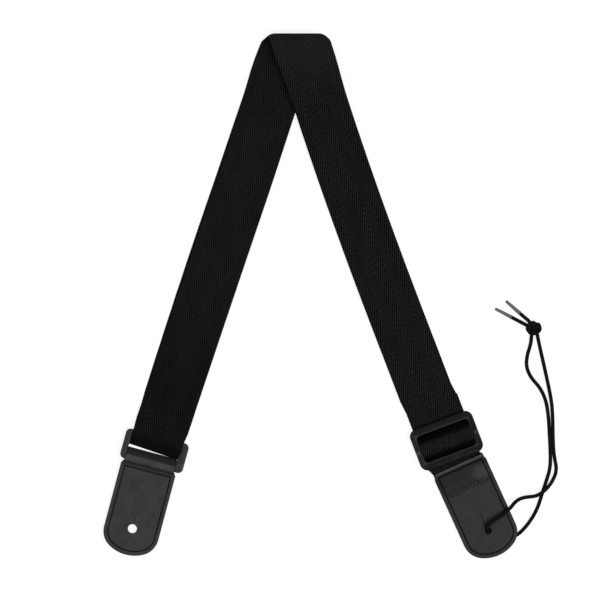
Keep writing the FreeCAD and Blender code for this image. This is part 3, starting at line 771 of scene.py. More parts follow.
def end_loop():
    """The webbing's end, round the middle bar and sewn back to itself above the slider."""
    wrap_y = BAR_HALF + 0.8 + WEB_THICK / 2
    under_bar = BAR_LEVEL - 0.2 - WEB_THICK / 2
    profile = [(END_TAIL, LOW_MID), (RISE + 2, LOW_MID), (BAR_HALF + 0.5, under_bar),
               (-BAR_HALF, under_bar), (-wrap_y, BAR_LEVEL + 0.1), (-wrap_y, BAR_TOP - 0.3),
               (-BAR_HALF - 0.4, LOOP_TOP), (BAR_HALF + 0.5, LOOP_TOP), (RISE - 1, HIGH_MID),
               (END_REACH, HIGH_MID)]
    return webbing("strap_end_loop", profile_rows(SLIDER, profile, LOOP_STEP))[0]


web_over_bar = over_bar()
web_end_loop = end_loop()

# ---------------------------------------------------------------- tabs


def arc_points(x, y, radius, start, end, steps=9):
    """Points of an arc about (x, y), from one angle in degrees to another."""
    angles = [math.radians(start + (end - start) * i / steps) for i in range(steps + 1)]
    return [(x + radius * math.cos(a), y + radius * math.sin(a)) for a in angles]


def tab_outline(top, inset=0.0, chamfer=0.0):
    """Tab's plan about its hole, counter-clockwise: straight sides, a round end and the top."""
    half = TAB_WIDTH / 2 - inset
    corner, end = TAB_CORNER - inset, TAB_END - inset
    end_y = end - (TAB_BELOW - inset)
    reach = math.sqrt((end - corner) ** 2 - (half - corner) ** 2)
    corner_y = end_y - reach
    turn = math.degrees(math.atan2(half - corner, reach))
    points = arc_points(-(half - corner), corner_y, corner, 180, 270 - turn)
    points += arc_points(0, end_y, end, 270 - turn, 270 + turn)[1:]
    points += arc_points(half - corner, corner_y, corner, 270 + turn, 360)[1:]
    points += [(half, top - 2 * chamfer), (half - chamfer, top)] if chamfer else [(half, top)]
    points += [(-x, y) for x, y in points[:-3:-1]] if chamfer else [(-half, top)]
    return points


def sides_of(outline):
    """Unit normals and distances from the hole of an outline's straight runs."""
    points = np.array(outline)
    runs = np.roll(points, -1, axis=0) - points
    lengths = np.linalg.norm(runs, axis=1)
    points, runs, lengths = points[lengths > 1e-6], runs[lengths > 1e-6], lengths[lengths > 1e-6]
    normals = np.column_stack([runs[:, 1], -runs[:, 0]]) / lengths[:, None]
    return normals, (normals * points).sum(axis=1)


def inside(sides, plan):
    """How far each plan point lies inside an outline."""
    normals, reaches = sides
    return (reaches - plan @ normals.T).min(axis=1)


RAYS = 400
INSETS = [0, 0.12, 0.3, 0.55, 0.9, 1.4, 2.1, 2.8, 3.2, 3.5, 3.75, 4.0, 4.25, 4.5, 4.8, 5.3, 6.2, 7.6,
          9.6]
HOLE_RINGS = [4.5, 3.2, 2.2, 1.5, 1.0, 0.6, 0.3, 0.12, 0.0]
INNER_RINGS = 9


def plate_plan(outline, hole_radius=HOLE_RADIUS):
    """Plan points in rings from a tab's edge in to its hole, one ray after another in a ring."""
    normals, reaches = sides_of(outline)
    angles = 2 * math.pi * np.arange(RAYS) / RAYS + math.pi / 2
    rays = np.column_stack([np.cos(angles), np.sin(angles)])
    facing = rays @ normals.T
    facing = np.where(facing > 1e-6, facing, np.nan)
    radii = [np.nanmin((reaches - inset) / facing, axis=1) for inset in INSETS]
    hole_edge = hole_radius + HOLE_RINGS[0]
    for i in range(1, INNER_RINGS):
        part = (i / INNER_RINGS) ** 1.15
        radii.append(radii[len(INSETS) - 1] * (1 - part) + hole_edge * part)
    radii += [np.full(RAYS, hole_radius + ring) for ring in HOLE_RINGS]
    return np.concatenate([rays * r[:, None] for r in radii]), len(radii)


def rounded_edge(distance, width=0.8, fall=0.45):
    """How far a worn edge falls away at a distance in from it."""
    near = np.clip(1 - distance / width, 0, 1)
    return fall * (1 - np.sqrt(1 - 0.96 * near ** 2))


def leather_height(plan, edge, stitches, hole_radius=HOLE_RADIUS):
    """Rise of a tab's leather over its plan: round edges, a sunk seam, the hole and the slit."""
    x, y = plan[:, 0], plan[:, 1]
    seam = np.abs(inside(stitches, plan))
    hole = np.hypot(x, y) - hole_radius
    height = -rounded_edge(edge) - rounded_edge(hole, 0.7, 0.4)
    height -= 0.30 * np.exp(-(seam / 0.7) ** 2)
    height += 0.10 * np.exp(-((seam - 2.0) / 1.2) ** 2)
    height += 0.14 * np.exp(-((hole - 1.5) / 1.0) ** 2)
    in_slit = np.clip((SLIT_TOP + 0.4 - y) / 0.8, 0, 1) * (y > 0)
    lips = 0.12 * np.exp(-((np.abs(x) - 0.9) / 0.6) ** 2)
    height -= (0.75 * np.exp(-(x / 0.22) ** 2) - lips) * in_slit
    waves = [noise.noise(Vector((px, py, 3.0)) * 0.09) for px, py in plan]
    return height + 0.09 * np.array(waves)


def thicken(piece, thick):
    """Gives a leather or board surface its thickness, inwards, as real mesh."""
    modifier = piece.modifiers.new("thickness", "SOLIDIFY")
    modifier.thickness = thick * 0.001
    modifier.offset = -1
    modifier.use_quality_normals = True
    mesh = bpy.data.meshes.new_from_object(piece.evaluated_get(bpy.context.evaluated_depsgraph_get()))
    piece.modifiers.clear()
    piece.data = mesh
    return piece


def in_place(place, points):
    return [place @ Vector(p) for p in points]


def plate(name, place, outline, stitches, level, thick, faces_up, hole, lift=None):
    """One flat layer of a tab, its outer surface at a level above the tab's back."""
    plan, rings = plate_plan(outline, hole)
    height = np.zeros(len(plan))
    if stitches:
        height = leather_height(plan, inside(sides_of(outline), plan), sides_of(stitches), hole)
    if lift:
        height = height + np.array([lift(y) for _, y in plan])
    levels = level + (height if faces_up else np.maximum(-0.5 * height, 0))
    points = [(x, y, z) for (x, y), z in zip(plan, levels)]
    faces = grid_faces(rings, RAYS, closed=True, flip=not faces_up)
    piece = new_mesh(name, in_place(place, points), faces, points)
    return thicken(piece, thick)


def left_neck_half(y):
    """Half width of the left tab's leather between its shoulder and the roll."""
    part = smooth_step(LEFT_SHOULDER, LEFT_NECK, y)
    return TAB_WIDTH / 2 + (LEFT_NECK_HALF - TAB_WIDTH / 2) * part


def roll_path():
    """The left tab's strip in (y, z): from the face, over the ring's bar, round and back below."""
    bar_y = (LEFT_TAB.inverted() @ (RING_CENTRE - along(RING_LEAN) * (RING_HEIGHT - RING_BAR) / 2)).y
    over = RING_BAR_LEVEL + RING_BAR / 2 + MOVING_GAP + LEATHER
    roll_y = LEFT_ROLL_TIP - ROLL_RADIUS
    profile = [(LEFT_SHOULDER, TAB_THICK), (bar_y - RING_BAR / 2 - 0.4, over),
               (bar_y + RING_BAR / 2 + 0.4, over), (roll_y, 2 * ROLL_RADIUS)]
    line = rounded_profile(profile)[:-1]
    line += half_turn(roll_y, ROLL_RADIUS, ROLL_RADIUS, 1, 14)[::-1]
    line += [(roll_y + (LEFT_SHOULDER - roll_y) * i / 8, 0.0) for i in range(1, 9)]
    return [(p.x, p.y) for p in spaced([Vector((y, z, 0)) for y, z in line], ROLL_STEP)]


def roll_rows(shares):
    """Rows of the strip between its two ends, at shares of its half width, with worn edges."""
    path = roll_path()
    rows = []
    for (y0, z0), (y, z), (y1, z1) in zip(path, path[1:], path[2:]):
        half = left_neck_half(y)
        run = Vector((y1 - y0, z1 - z0)).normalized()
        outward = Vector((-run.y, run.x)) if z > 0.01 else Vector((0, -0.5))
        row = []
        for share in shares:
            drop = rounded_edge((1 - abs(share)) * half)
            row.append((share * half, y - outward.x * drop, max(z - outward.y * drop, 0.0)))
        rows.append(row)
    return rows


def left_leather():
    """Face and back with a round end, joined by the strip that rolls over the ring's bar."""
    plan, rings = plate_plan(tab_outline(LEFT_SHOULDER))
    # its shoulder isn't an edge, so the edges are measured on an outline that goes on past it
    edge = inside(sides_of(tab_outline(LEFT_SHOULDER + 40)), plan)
    height = leather_height(plan, edge, sides_of(tab_outline(LEFT_STITCH_TOP, STITCH_INSET)))
    points = [(x, y, TAB_THICK + h) for (x, y), h in zip(plan, height)]
    faces = grid_faces(rings, RAYS, closed=True)
    back_first = len(points)
    points += [(x, y, max(-0.5 * h, 0.0)) for (x, y), h in zip(plan, height)]
    faces += grid_faces(rings, RAYS, closed=True, first=back_first, flip=True)

    top_edge = [i for i in range(RAYS) if abs(plan[i][1] - LEFT_SHOULDER) < 1e-3]
    top_edge.sort(key=lambda i: plan[i][0])
    strips = [top_edge]
    for row in roll_rows([plan[i][0] / (TAB_WIDTH / 2) for i in top_edge]):
        strips.append(list(range(len(points), len(points) + len(row))))
        points += row
    strips.append([back_first + i for i in top_edge])
    for low, high in zip(strips, strips[1:]):
        faces += list(zip(low, low[1:], high[1:], high))
    piece = new_mesh("left_leather", in_place(LEFT_TAB, points), faces, points)
    return thicken(piece, LEATHER)


THREAD_RADIUS = 0.5
THREAD_SIDES = 8
STITCH_PARTS = 12
STITCH_POINTS = 10
STITCH_SUNK = 0.45
STITCH_RISE = 0.42


def thread_radius(angle, run):
    """Radius of a stitch's two twisted yarns."""
    return THREAD_RADIUS * (1 + 0.12 * math.sin(2 * angle + run * 6))


def stitching(name, place, stitch_line, level):
    """Separate lock stitches round a tab's seam, each sinking into the leather at both ends."""
    loop = [Vector((x, y, 0)) for x, y in stitch_line]
    loop.append(loop[0])
    length = sum((b - a).length for a, b in zip(loop, loop[1:]))
    count = round(length / STITCH_PITCH)
    line = spaced(loop, length / (count * STITCH_PARTS) * 0.99999)
    tubes = []
    for stitch in range(count):
        start = int(stitch * len(line) / count) + 1
        arched = []
        for k, point in enumerate(line[start:start + STITCH_POINTS]):
            rise = STITCH_RISE * math.sin(math.pi * k / (STITCH_POINTS - 1)) ** 0.6
            arched.append(Vector((point.x, point.y, level - STITCH_SUNK + rise)))
        points, _ = tube_points(arched, thread_radius, THREAD_SIDES)
        tubes.append((in_place(place, points), points))
    return capped_tube(name, tubes, THREAD_SIDES)


def right_lift(y):
    """The right tab's top edge stands up a little over the webbing sewn inside."""
    return 0.55 * smooth_step(RIGHT_STITCH_TOP + 0.6, RIGHT_TAB_TOP - 1.2, y)


left_tab_leather = left_leather()
left_seam = tab_outline(LEFT_STITCH_TOP, STITCH_INSET)
right_seam = tab_outline(RIGHT_STITCH_TOP, STITCH_INSET)
right_outline = tab_outline(RIGHT_TAB_TOP, chamfer=RIGHT_CHAMFER)
left_board_outline = tab_outline(LEFT_STITCH_TOP - 1, BOARD_INSET)
right_board_outline = tab_outline(RIGHT_TAB_TOP - SEWN_IN - 2.5, BOARD_INSET)
left_tab_board = plate("left_core", LEFT_TAB, left_board_outline, None, LEATHER + CORE, CORE, True,
                       HOLE_RADIUS)
right_tab_board = plate("right_core", RIGHT_TAB, right_board_outline, None, LEATHER + CORE, CORE, True,
                        PULLED_CORE_HOLE)
right_tab_face = plate("right_face_leather", RIGHT_TAB, right_outline, right_seam, TAB_THICK, LEATHER,
                       True, PULLED_HOLE, lift=right_lift)
right_tab_back = plate("right_back_leather", RIGHT_TAB, right_outline, right_seam, 0.0, LEATHER, False,
                       PULLED_HOLE)
left_tab_stitching = stitching("left_stitches", LEFT_TAB, left_seam, TAB_THICK)
right_tab_stitching = stitching("right_stitches", RIGHT_TAB, right_seam, TAB_THICK)

# ---------------------------------------------------------------- moulded ring and slider

CORNER_STEPS = 10


def rounded_loop(half_x, half_y, radius):
    """Points round a rounded rectangle, each corner in as many steps."""
    points = []
    for sx, sy, start in ((1, -1, 270), (1, 1, 0), (-1, 1, 90), (-1, -1, 180)):
        points += arc_points(sx * (half_x - radius), sy * (half_y - radius), radius,
                             start, start + 90, CORNER_STEPS)
    return points


def divided(loop, step=2.5):
    """A closed loop's points with more of them on its straight runs, as (point, next, part)."""
    result = []
    for i, point in enumerate(loop):
        after = loop[(i + 1) % len(loop)]
        count = max(int(math.dist(point, after) / step), 1)
        result += [(i, (i + 1) % len(loop), k / count) for k in range(count)]
    return result


def moulded_frame(name, place, outer, window, section, thick, shape=None):
    """Closed frame between two matched loops; its section holds (share inwards, share up)."""
    points = []
    places = divided(outer)
    for i, j, part in places:
        ox, oy = (outer[i][k] + (outer[j][k] - outer[i][k]) * part for k in (0, 1))
        wx, wy = (window[i][k] + (window[j][k] - window[i][k]) * part for k in (0, 1))
        for inward, up in section:
            x, y = ox + (wx - ox) * inward, oy + (wy - oy) * inward
            z = thick * up
            points.append((x, y, z + (shape(x, y, up) if shape else 0.0)))
    faces = []
    count = len(section)
    for r in range(len(places)):
        after = (r + 1) % len(places)
        for c in range(count):
            d = (c + 1) % count
            faces.append((r * count + c, after * count + c, after * count + d, r * count + d))
    return new_mesh(name, in_place(place, points), faces, points)


def soft_square(steps, power):
    """Points round a section between a circle and a square, each number from -1 to 1."""
    angles = [2 * math.pi * i / steps for i in range(steps)]
    return [tuple(math.copysign(abs(c) ** power, c) for c in (math.cos(a), math.sin(a))) for a in angles]


def ring_section():
    """Nearly round bar section, a little flat at top and bottom."""
    return [(0.5 - 0.5 * x, 0.5 + 0.5 * y) for x, y in soft_square(24, 2 / 3.6)][::-1]


def slider_section():
    """Flat-topped rail section with a soft outer edge and a bevel into the window."""
    top = [(0.0, 0.5), (0.0, 0.76), (0.03, 0.88), (0.09, 0.96), (0.17, 1.0), (0.5, 1.0),
           (0.82, 1.0), (0.87, 0.985), (0.96, 0.86), (1.0, 0.74), (1.0, 0.5)]
    bottom = [(1.0, 0.18), (0.97, 0.06), (0.9, 0.0), (0.5, 0.0), (0.1, 0.0), (0.03, 0.06), (0.0, 0.18)]
    return (top + bottom)[::-1]


WINDOW_CORNER = 3.5
BOSS_X = 26.4
BOSS_HEIGHT = 0.22
BAR_RINGS = 29
BAR_NOTCH = 0.12


def bar_boss(x, y, up):
    """Low bosses on the slider's sides, where its middle bar is moulded in."""
    on_side = up >= 0.9 and abs(x) > BOSS_X
    return BOSS_HEIGHT * smooth_step(-4.2, -3.2, y) * smooth_step(0.9, -0.1, y) * on_side


def slider_frame():
    """The slider's frame and middle bar in one mesh."""
    outer = rounded_loop(SLIDER_LENGTH / 2, SLIDER_HEIGHT / 2, SLIDER_CORNER)
    window = rounded_loop(SLIDER_WINDOW_X, SLIDER_WINDOW_Y, WINDOW_CORNER)
    place = SLIDER @ Matrix.Translation((0, 0, SLIDER_LEVEL))
    piece = moulded_frame("slider_moulding", place, outer, window, slider_section(), SLIDER_THICK,
                          bar_boss)
    bar = bmesh.new()
    bar.from_mesh(piece.data)
    add_middle_bar(bar)
    bar.to_mesh(piece.data)
    bar.free()
    return piece


def add_middle_bar(bar):
    """The slider's middle bar, its top notched to grip, with ends sunk into the side rails."""
    reach = SLIDER_WINDOW_X + 1.0
    section = [(BAR_HALF * x, BAR_LEVEL + BAR_THICK / 2 * (1 + y)) for x, y in soft_square(20, 0.6)]
    layer = bar.verts.layers.float_vector.get("lay")
    rings = []
    for k in range(BAR_RINGS):
        x = reach * (2 * k / (BAR_RINGS - 1) - 1)
        notch = BAR_NOTCH * (k % 2)
        ring = []
        for y, z in section:
            drop = notch if z > BAR_LEVEL + BAR_THICK * 0.8 else 0.0
            vertex = bar.verts.new(metres(SLIDER @ Vector((x, y, z - drop))))
            vertex[layer] = (x, y, z)
            ring.append(vertex)
        rings.append(ring)
    for low, high in zip(rings, rings[1:]):
        for a, b, c, d in zip(low, low[1:] + low[:1], high[1:] + high[:1], high):
            bar.faces.new((a, b, c, d)).smooth = True
    bar.faces.new(rings[0][::-1])
    bar.faces.new(rings[-1])


def ring_window_x(x, y):
    """The window's sides lean: the right rail broadens downwards, the left one upwards."""
    if x > 0:
        return x - 0.6 - 2.4 * smooth_step(9, 0, y)
    return x + 0.7 * smooth_step(-2, 4, y)


def left_ring():
    outer = rounded_loop(RING_LENGTH / 2, RING_HEIGHT / 2, RING_CORNER)
    window = rounded_loop(RING_LENGTH / 2 - RING_RAIL, RING_HEIGHT / 2 - RING_BAR, 1.5)
    window = [(ring_window_x(x, y), y) for x, y in window]
    return moulded_frame("ring_moulding", RING, outer, window, ring_section(), RING_BAR)


slider = slider_frame()
ring = left_ring()

# ---------------------------------------------------------------- finishes


class Value:
    """A socket in a material's nodes, so that sums on it add Math nodes."""

    def __init__(self, finish, socket):
        self.finish = finish
        self.socket = socket

    def math(self, operation, *others):
        return self.finish.node("ShaderNodeMath", {"operation": operation}, [self, *others])

    def __add__(self, other):
        return self.math("ADD", other)

    __radd__ = __add__

    def __mul__(self, other):
        return self.math("MULTIPLY", other)

    __rmul__ = __mul__

    def __sub__(self, other):
        return self.math("SUBTRACT", other)

    def __rsub__(self, other):
        return self.finish.node("ShaderNodeMath", {"operation": "SUBTRACT"}, [other, self])

    def __abs__(self):
        return self.math("ABSOLUTE")

    def __pow__(self, power):
        return self.math("POWER", power)

    def sine(self):
        return self.math("SINE")

    def step(self, low, high):
        """0 below low, 1 above high, smooth between; low may be the larger."""
        return self.finish.node("ShaderNodeMapRange", {"interpolation_type": "SMOOTHSTEP"},
                                {"Value": self, "From Min": low, "From Max": high})


class Finish:
    """One material: a Principled shader and a method that adds any other node."""

    def __init__(self, name, **constants):
        self.material = bpy.data.materials.new(name)
        self.material.use_nodes = True
        self.tree = self.material.node_tree
        self.shader = self.tree.nodes["Principled BSDF"]
        for key, value in constants.items():
            self.shader.inputs[key.replace("_", " ").title().replace("Ior", "IOR")].default_value = value
        own = self.node("ShaderNodeAttribute", {"attribute_name": "lay"}, output="Vector")
        self.lay = own
        self.x, self.y, self.z = (self.node("ShaderNodeSeparateXYZ", inputs=[own], output=axis)
                                  for axis in "XYZ")

    def node(self, kind, settings=None, inputs=(), output=None):
        added = self.tree.nodes.new(kind)
        for key, value in (settings or {}).items():
            setattr(added, key, value)
        sockets = [s for s in added.inputs if s.enabled]
        named = inputs.items() if isinstance(inputs, dict) else enumerate(inputs)
        for key, value in named:
            socket = sockets[key] if isinstance(key, int) else next(s for s in sockets if s.name == key)
            if isinstance(value, Value):
                self.tree.links.new(value.socket, socket)
            else:
                socket.default_value = value
        outputs = [s for s in added.outputs if s.enabled]
        chosen = outputs[0] if output is None else next(s for s in outputs if s.name == output)
        return Value(self, chosen)

    def colour(self, amount, low, high):
        """Between two colours by an amount."""
        return self.node("ShaderNodeMix", {"data_type": "RGBA", "clamp_factor": False},
                         {"Factor": amount, "A": (*low, 1), "B": (*high, 1)}, "Result")

    def noise(self, scale, detail=2.0, stretch=(1, 1, 1)):
        """Noise in the piece's own millimetres, drawn out along an axis by stretch."""
        place = self.node("ShaderNodeVectorMath", {"operation": "MULTIPLY"}, [self.lay, stretch])
        return self.node("ShaderNodeTexNoise", {}, {"Vector": place, "Scale": scale, "Detail": detail},
                         "Fac")

    def set(self, name, value):
        self.tree.links.new(value.socket, self.shader.inputs[name])

    def bump(self, height, distance, strength=1.0):
        """Height in millimetres over a fine surface, into the shader's normal."""
        made = self.node("ShaderNodeBump", {}, {"Strength": strength, "Distance": distance * 0.001,
                                                "Height": height}, "Normal")
        self.set("Normal", made)


def grey(level, warmth=0.0):
    return (level * (1 + warmth), level, level * (1 - warmth))


def webbing_finish():
    """Black herringbone: lighter rib tops and dark gaps, the weave's own look with painted shade in the
    grooves; fine lengthwise yarns and soft fibres.

    Where a strip's painted lightness is under 1 its tops darken as painted shade; over 1, it pales all
    over as a painted highlight.
    """
    finish = Finish("herringbone_webbing", specular_ior_level=0.02)
    u, v = finish.x, finish.y
    fold = (u + WEB_WIDTH / 2).math("PINGPONG", STRIPE)
    phase = (fold * math.cos(TWILL) - v * math.sin(TWILL)) * (1 / RIB_PITCH)
    rib = abs((phase * math.pi).sine())
    # rib crowns lighter than the gaps: the weave's own look, with painted shade in the grooves
    crown = rib.step(0.42, 0.92)
    yarn = abs((u * (math.pi / 0.66) + finish.noise(0.35) * 2.0).sine())
    fibres = finish.noise(3.0, 3.0, (1, 0.25, 1))
    cloud = finish.noise(0.09, 3.0, (1, 0.35, 1))
    tops = crown * (0.3 + yarn * 0.5 + fibres * 0.5) * (0.5 + cloud * 0.9)
    # painted highlight: a strip's lightness over 1 pales it all over; under 1 it darkens the rib tops as
    # painted shade
    paling_highlight = finish.z.math("MAXIMUM", 1.0) - 1
    lightness = tops * finish.z.math("MINIMUM", 1.0) + paling_highlight * 0.32
    finish.set("Base Color", finish.colour(lightness, grey(0.0003), grey(0.0165)))
    finish.set("Roughness", 0.78 - rib * 0.16 + fibres * 0.1)
    finish.bump(yarn * 0.35 + fibres * 0.5, 0.16)
    return finish.material


def leather_grain(finish):
    """Pebbled grain: small raised cells with creases between them."""
    cells = finish.node("ShaderNodeTexVoronoi", {"feature": "DISTANCE_TO_EDGE"},
                        {"Vector": finish.lay, "Scale": 1.25}, "Distance")
    pores = finish.noise(4.0, 3.0)
    return cells.step(0.0, 0.22) * 0.7 + pores * 0.3


def cut_edge(finish):
    """1 on the leather's two long cut sides, where the fibres show."""
    return abs(finish.x).step(TAB_WIDTH / 2 - 0.5, TAB_WIDTH / 2 - 0.2)


def roll_shade_and_highlight(finish):
    """The left tab's roll: painted shade behind it, a painted highlight over the ring's bar where it faces
    the light, painted shade in the hollow.
    """
    y = finish.y
    behind = 1 - y.step(66.0, 67.6) * 0.78 - y.step(69.8, 71.2) * 0.2
    hollow = 1 - y.step(55.0, 57.0) * y.step(61.2, 59.4) * 0.42
    return behind * hollow * (1 + y.step(60.0, 62.4) * y.step(67.2, 65.4) * 0.55)


def sewn_end_shade_and_highlight(finish):
    """The right tab over the webbing sewn inside: painted shade where the leather dips over it, a painted
    highlight at one corner, and a pale top rim that is partly a painted highlight and partly its paler
    skived edge.
    """
    x, y = finish.x, finish.y
    dark = 1 - y.step(40.0, 56.0) * 0.86
    patch = ((x - 17) * (x - 17) * 0.012 + (y - 53) * (y - 53) * 0.02).step(1.6, 0.0)
    rim = y.step(65.2, 66.4) * 3.2
    return dark + patch * 1.5 + rim


def leather_finish(name, tone, painted_light, device):
    """Charcoal leather with a fine grain and an uneven tone, with painted shade and highlights; a plain
    stamped device if asked.
    """
    finish = Finish(name, specular_ior_level=0.2)
    grain = leather_grain(finish)
    cloud = finish.noise(0.12, 3.0)
    # the last factor paints shade and highlights onto the leather
    shade = (grain * 0.3 + cloud * 0.45 + cut_edge(finish) * 0.3) * painted_light(finish)
    height = grain * 0.12
    if device:
        stamped = stamp(finish.x, finish.y)
        height = height - stamped * 0.9
        shade = shade - stamped * 0.45
    finish.set("Base Color", finish.colour(shade, grey(tone * 0.1), grey(tone * 2.2)))
    finish.set("Roughness", 0.62 - grain * 0.12 + cloud * 0.08)
    finish.bump(height, 0.32)
    return finish.material


DEVICE_PITCH = 8.2
DEVICE_LEVEL = 45.0
DEVICE_HALF = 3.4


def stamp(x, y):
    """A row of plain lozenge outlines pressed into the leather."""
    cell = abs((x + DEVICE_PITCH / 2).math("PINGPONG", DEVICE_PITCH / 2) - DEVICE_PITCH / 4) * 2
    shape = (DEVICE_PITCH / 2 - cell) * 0.95 + abs(y - DEVICE_LEVEL)
    line = abs(shape - DEVICE_HALF).step(0.75, 0.35)
    return line * abs(x).step(20.6, 20.4)


def thread_finish():
    """Black thread, its twist showing as fine slanting bands."""
    finish = Finish("sewing_thread", specular_ior_level=0.02)
    twist = abs((finish.x * 5.0 + finish.y * 5.0).sine())
    finish.set("Base Color", finish.colour(twist, grey(0.0002), grey(0.002)))
    finish.set("Roughness", 0.45 + twist * 0.15)
    finish.bump(twist, 0.08)
    return finish.material


def lip_and_boss_highlights(x, y):
    """2 on the slider's inner bevel and 2.4 on its side bosses, both painted highlights."""
    beyond = (abs(x) - SLIDER_WINDOW_X).math("MAXIMUM", abs(y) - SLIDER_WINDOW_Y - 0.2)
    boss = abs(x).step(BOSS_X + 0.2, BOSS_X + 0.8) * y.step(-3.6, -2.8) * y.step(0.5, -0.4)
    return beyond.step(1.15, 0.75) * 2.0 + boss * 2.4


def plastic_finish(name, tone, shine, lip):
    """Moulded black plastic: a fine texture, rubbed smoother in patches; if asked, painted highlights on
    the window's lip and side bosses and a paler left rail.
    """
    finish = Finish(name, specular_ior_level=shine)
    texture = finish.noise(5.5, 4.0)
    rubbed = finish.noise(0.16, 2.0).step(0.42, 0.68)
    light = texture * 0.5 + rubbed * 0.4
    if lip:
        # painted highlights, dotted, on the window's lip and side bosses; the left rail is paler
        speckle = abs((finish.x * 4 + finish.y * 4).sine()) * 0.5 + 0.5
        left_rail = finish.x.step(-25.0, -26.6)
        light = light + lip_and_boss_highlights(finish.x, finish.y) * speckle * 5.5 + left_rail * 3.0
    finish.set("Base Color", finish.colour(light, grey(tone * 0.7), grey(tone * 1.4)))
    finish.set("Roughness", 0.56 + texture * 0.1 - rubbed * 0.12)
    finish.bump(texture, 0.03)
    return finish.material


def cord_finish():
    """Braided black cord: each strand's crown catches light and its yarns run slantwise."""
    finish = Finish("braided_cord", specular_ior_level=0.0)
    crown = finish.z.step(CORD_RADIUS - BRAID_DEPTH, CORD_RADIUS)
    yarns = abs((finish.x * 16 + finish.y * 3.4).sine())
    fibres = finish.noise(2.4, 2.0, (2, 1, 1))
    shade = crown * 0.6 + yarns * 0.2 + fibres * 0.25
    finish.set("Base Color", finish.colour(shade, grey(0.0005), grey(0.008)))
    finish.set("Roughness", 0.72 + fibres * 0.15)
    finish.bump(yarns * 0.4 + fibres * 0.4, 0.12)
    return finish.material


def sleeve_finish():
    """Clear shrunk plastic over the dark cord end, cloudy, with the braid showing faintly."""
    finish = Finish("clear_sleeve", specular_ior_level=0.25, coat_roughness=0.3, coat_weight=0.12)
    braid_shows = abs((finish.x * 4 + finish.y * 0.9).sine()) * abs((finish.x * 4 - finish.y * 0.9).sine())
    cloudy = finish.noise(0.8, 3.0)
    shade = cloudy * 0.7 + braid_shows * 0.4
    finish.set("Base Color", finish.colour(shade, (0.035, 0.036, 0.037), (0.17, 0.174, 0.177)))
    finish.set("Roughness", 0.25 + cloudy * 0.2)
    finish.bump(cloudy, 0.05)
    return finish.material


def board_finish():
    """Fibre board, with painted shade round the button hole."""
    finish = Finish("fibre_board", specular_ior_level=0.03)
    fibres = finish.noise(1.6, 4.0)
    # painted shade inside the button hole: the board darkens near its centre
    centre = (finish.x ** 2 + finish.y ** 2).step(20.0, 40.0)
    shade = (0.4 + fibres * 0.6) * (0.08 + centre * 0.92)
    finish.set("Base Color", finish.colour(shade, (0.0, 0.0, 0.0), (0.06, 0.05, 0.042)))
    finish.set("Roughness", 0.8 + fibres * 0.15)
    finish.bump(fibres, 0.1)
    return finish.material


WEBBING = webbing_finish()
LEFT_LEATHER = leather_finish("left_tab_leather", 0.0295, roll_shade_and_highlight, False)
RIGHT_LEATHER = leather_finish("right_tab_leather", 0.0165, sewn_end_shade_and_highlight, True)
THREAD = thread_finish()
SLIDER_PLASTIC = plastic_finish("slider_plastic", 0.0034, 0.1, True)
RING_PLASTIC = plastic_finish("ring_plastic", 0.024, 0.2, False)
CORD = cord_finish()
SLEEVE = sleeve_finish()
BOARD = board_finish()

# ---------------------------------------------------------------- what each piece rides on


def dress(piece, material, slot, *nodes):
    """Gives a piece its material and hides the CAD nodes it stands for; its slot is not used."""
    piece.data.materials.clear()
    piece.data.materials.append(material)
    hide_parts(*nodes)


def fold_point(y, level):
    return metres((LEFT_TOP_X, FOLD_Y + y, FOLD_LEVEL + level))


dress(web_left, WEBBING, "webbing", "webbing_left_lower", "webbing_left_upper", "webbing_ring_turn")
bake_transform(web_left)
dress(web_right_upper, WEBBING, "webbing", "webbing_right_upper", "webbing_tab_lead")
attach(web_right_upper, "right_leg")
dress(web_right_lower, WEBBING, "webbing", "webbing_right_lower")
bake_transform(web_right_lower)
for left, right, radius, node in (
        (fold_outer_left, fold_outer_right, OUTER_RADIUS, "webbing_fold_outer"),
        (fold_inner_left, fold_inner_right, INNER_RADIUS, "webbing_fold_inner")):
    dress(left, WEBBING, "webbing", node)
    fold_point(0, -radius)
    fold_point(radius, 0)
    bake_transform(left)
    dress(right, WEBBING, "webbing", node)
    fold_point(radius, 0)
    fold_point(0, radius)
    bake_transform(right)
dress(web_over_bar, WEBBING, "webbing", "webbing_over_bar")
dress(web_end_loop, WEBBING, "webbing", "webbing_end_loop")
dress(slider, SLIDER_PLASTIC, "plastic", "slider_frame")
for piece in (web_over_bar, web_end_loop, slider):
    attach(piece, "slider")
dress(ring, RING_PLASTIC, "plastic", "left_ring")
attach(ring, "ring")

dress(left_tab_leather, LEFT_LEATHER, "leather", "left_tab_leather")
dress(left_tab_board, BOARD, "board", "left_tab_board")
dress(left_tab_stitching, THREAD, "thread", "left_tab_stitching")
for piece in (left_tab_leather, left_tab_board, left_tab_stitching):
    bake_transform(piece)

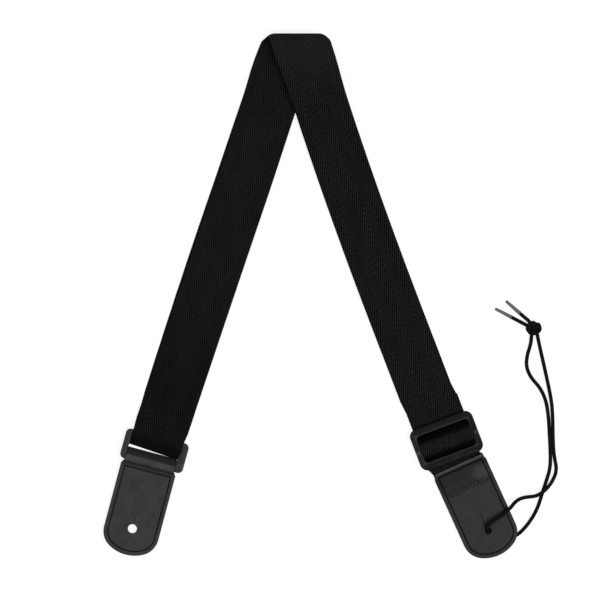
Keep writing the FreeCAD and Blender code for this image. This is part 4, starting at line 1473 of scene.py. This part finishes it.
dress(right_tab_face, RIGHT_LEATHER, "leather", "right_tab_face")
dress(right_tab_back, RIGHT_LEATHER, "leather", "right_tab_back")
dress(right_tab_board, BOARD, "board", "right_tab_board")
dress(right_tab_stitching, THREAD, "thread", "right_tab_stitching")
dress(cord_front, CORD, "cord", "tie_cord_front")
dress(cord_back, CORD, "cord", "tie_cord_back")
dress(cord_knot, CORD, "cord", "tie_cord_knot", "tie_cord_tail_upper", "tie_cord_tail_lower")
dress(aglet_upper, SLEEVE, "aglet", "aglet_upper")
dress(aglet_lower, SLEEVE, "aglet", "aglet_lower")
for piece in (right_tab_face, right_tab_back, right_tab_board, right_tab_stitching, cord_front,
              cord_back, cord_knot, aglet_upper, aglet_lower):
    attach(piece, "right_leg")

# ---------------------------------------------------------------- floor and lights


def floor():
    """A pale table that keeps the shadow and looks white to the camera."""
    finish = Finish("pale_floor", specular_ior_level=0.1, roughness=0.9)
    finish.shader.inputs["Base Color"].default_value = (0.86, 0.86, 0.86, 1)
    seen = [finish.node("ShaderNodeLightPath", output=name)
            for name in ("Is Camera Ray", "Is Glossy Ray", "Is Transmission Ray")]
    share = (seen[0] + seen[1] + seen[2]).math("MINIMUM", 1.0) * 0.75
    glow = finish.node("ShaderNodeEmission", {}, {"Color": (1, 1, 1, 1), "Strength": 1.1})
    principled = Value(finish, finish.shader.outputs["BSDF"])
    surface = finish.node("ShaderNodeMixShader", {}, [share, principled, glow])
    finish.tree.links.new(surface.socket, finish.tree.nodes["Material Output"].inputs["Surface"])
    half = 4000.0
    corners = [(-half, -half, -0.4), (half, -half, -0.4), (half, half, -0.4), (-half, half, -0.4)]
    plane = new_mesh("floor", corners, [(0, 1, 2, 3)])
    plane.data.materials.append(finish.material)


def lamp(name, offset, width, watts):
    """A soft round lamp at an offset in metres from the strap's middle, turned towards it."""
    data = bpy.data.lights.new(name, "AREA")
    data.shape = "DISK"
    data.size = width
    data.energy = watts
    made = bpy.data.objects.new(name, data)
    centre = metres((*VIEW_CENTRE, 0))
    made.location = centre + Vector(offset)
    made.rotation_euler = (-Vector(offset)).to_track_quat("-Z", "Y").to_euler()
    bpy.context.scene.collection.objects.link(made)


floor()
lamp("key", (0.75, -0.55, 1.35), 0.9, 17.0)
lamp("fill", (-0.9, 0.9, 1.2), 1.2, 8.0)
world = bpy.data.worlds.new("studio")
bpy.context.scene.world = world
world.use_nodes = True
world.node_tree.nodes["Background"].inputs["Color"].default_value = (1, 1, 1, 1)
world.node_tree.nodes["Background"].inputs["Strength"].default_value = 0.42
bpy.context.scene.view_settings.view_transform = "Standard"
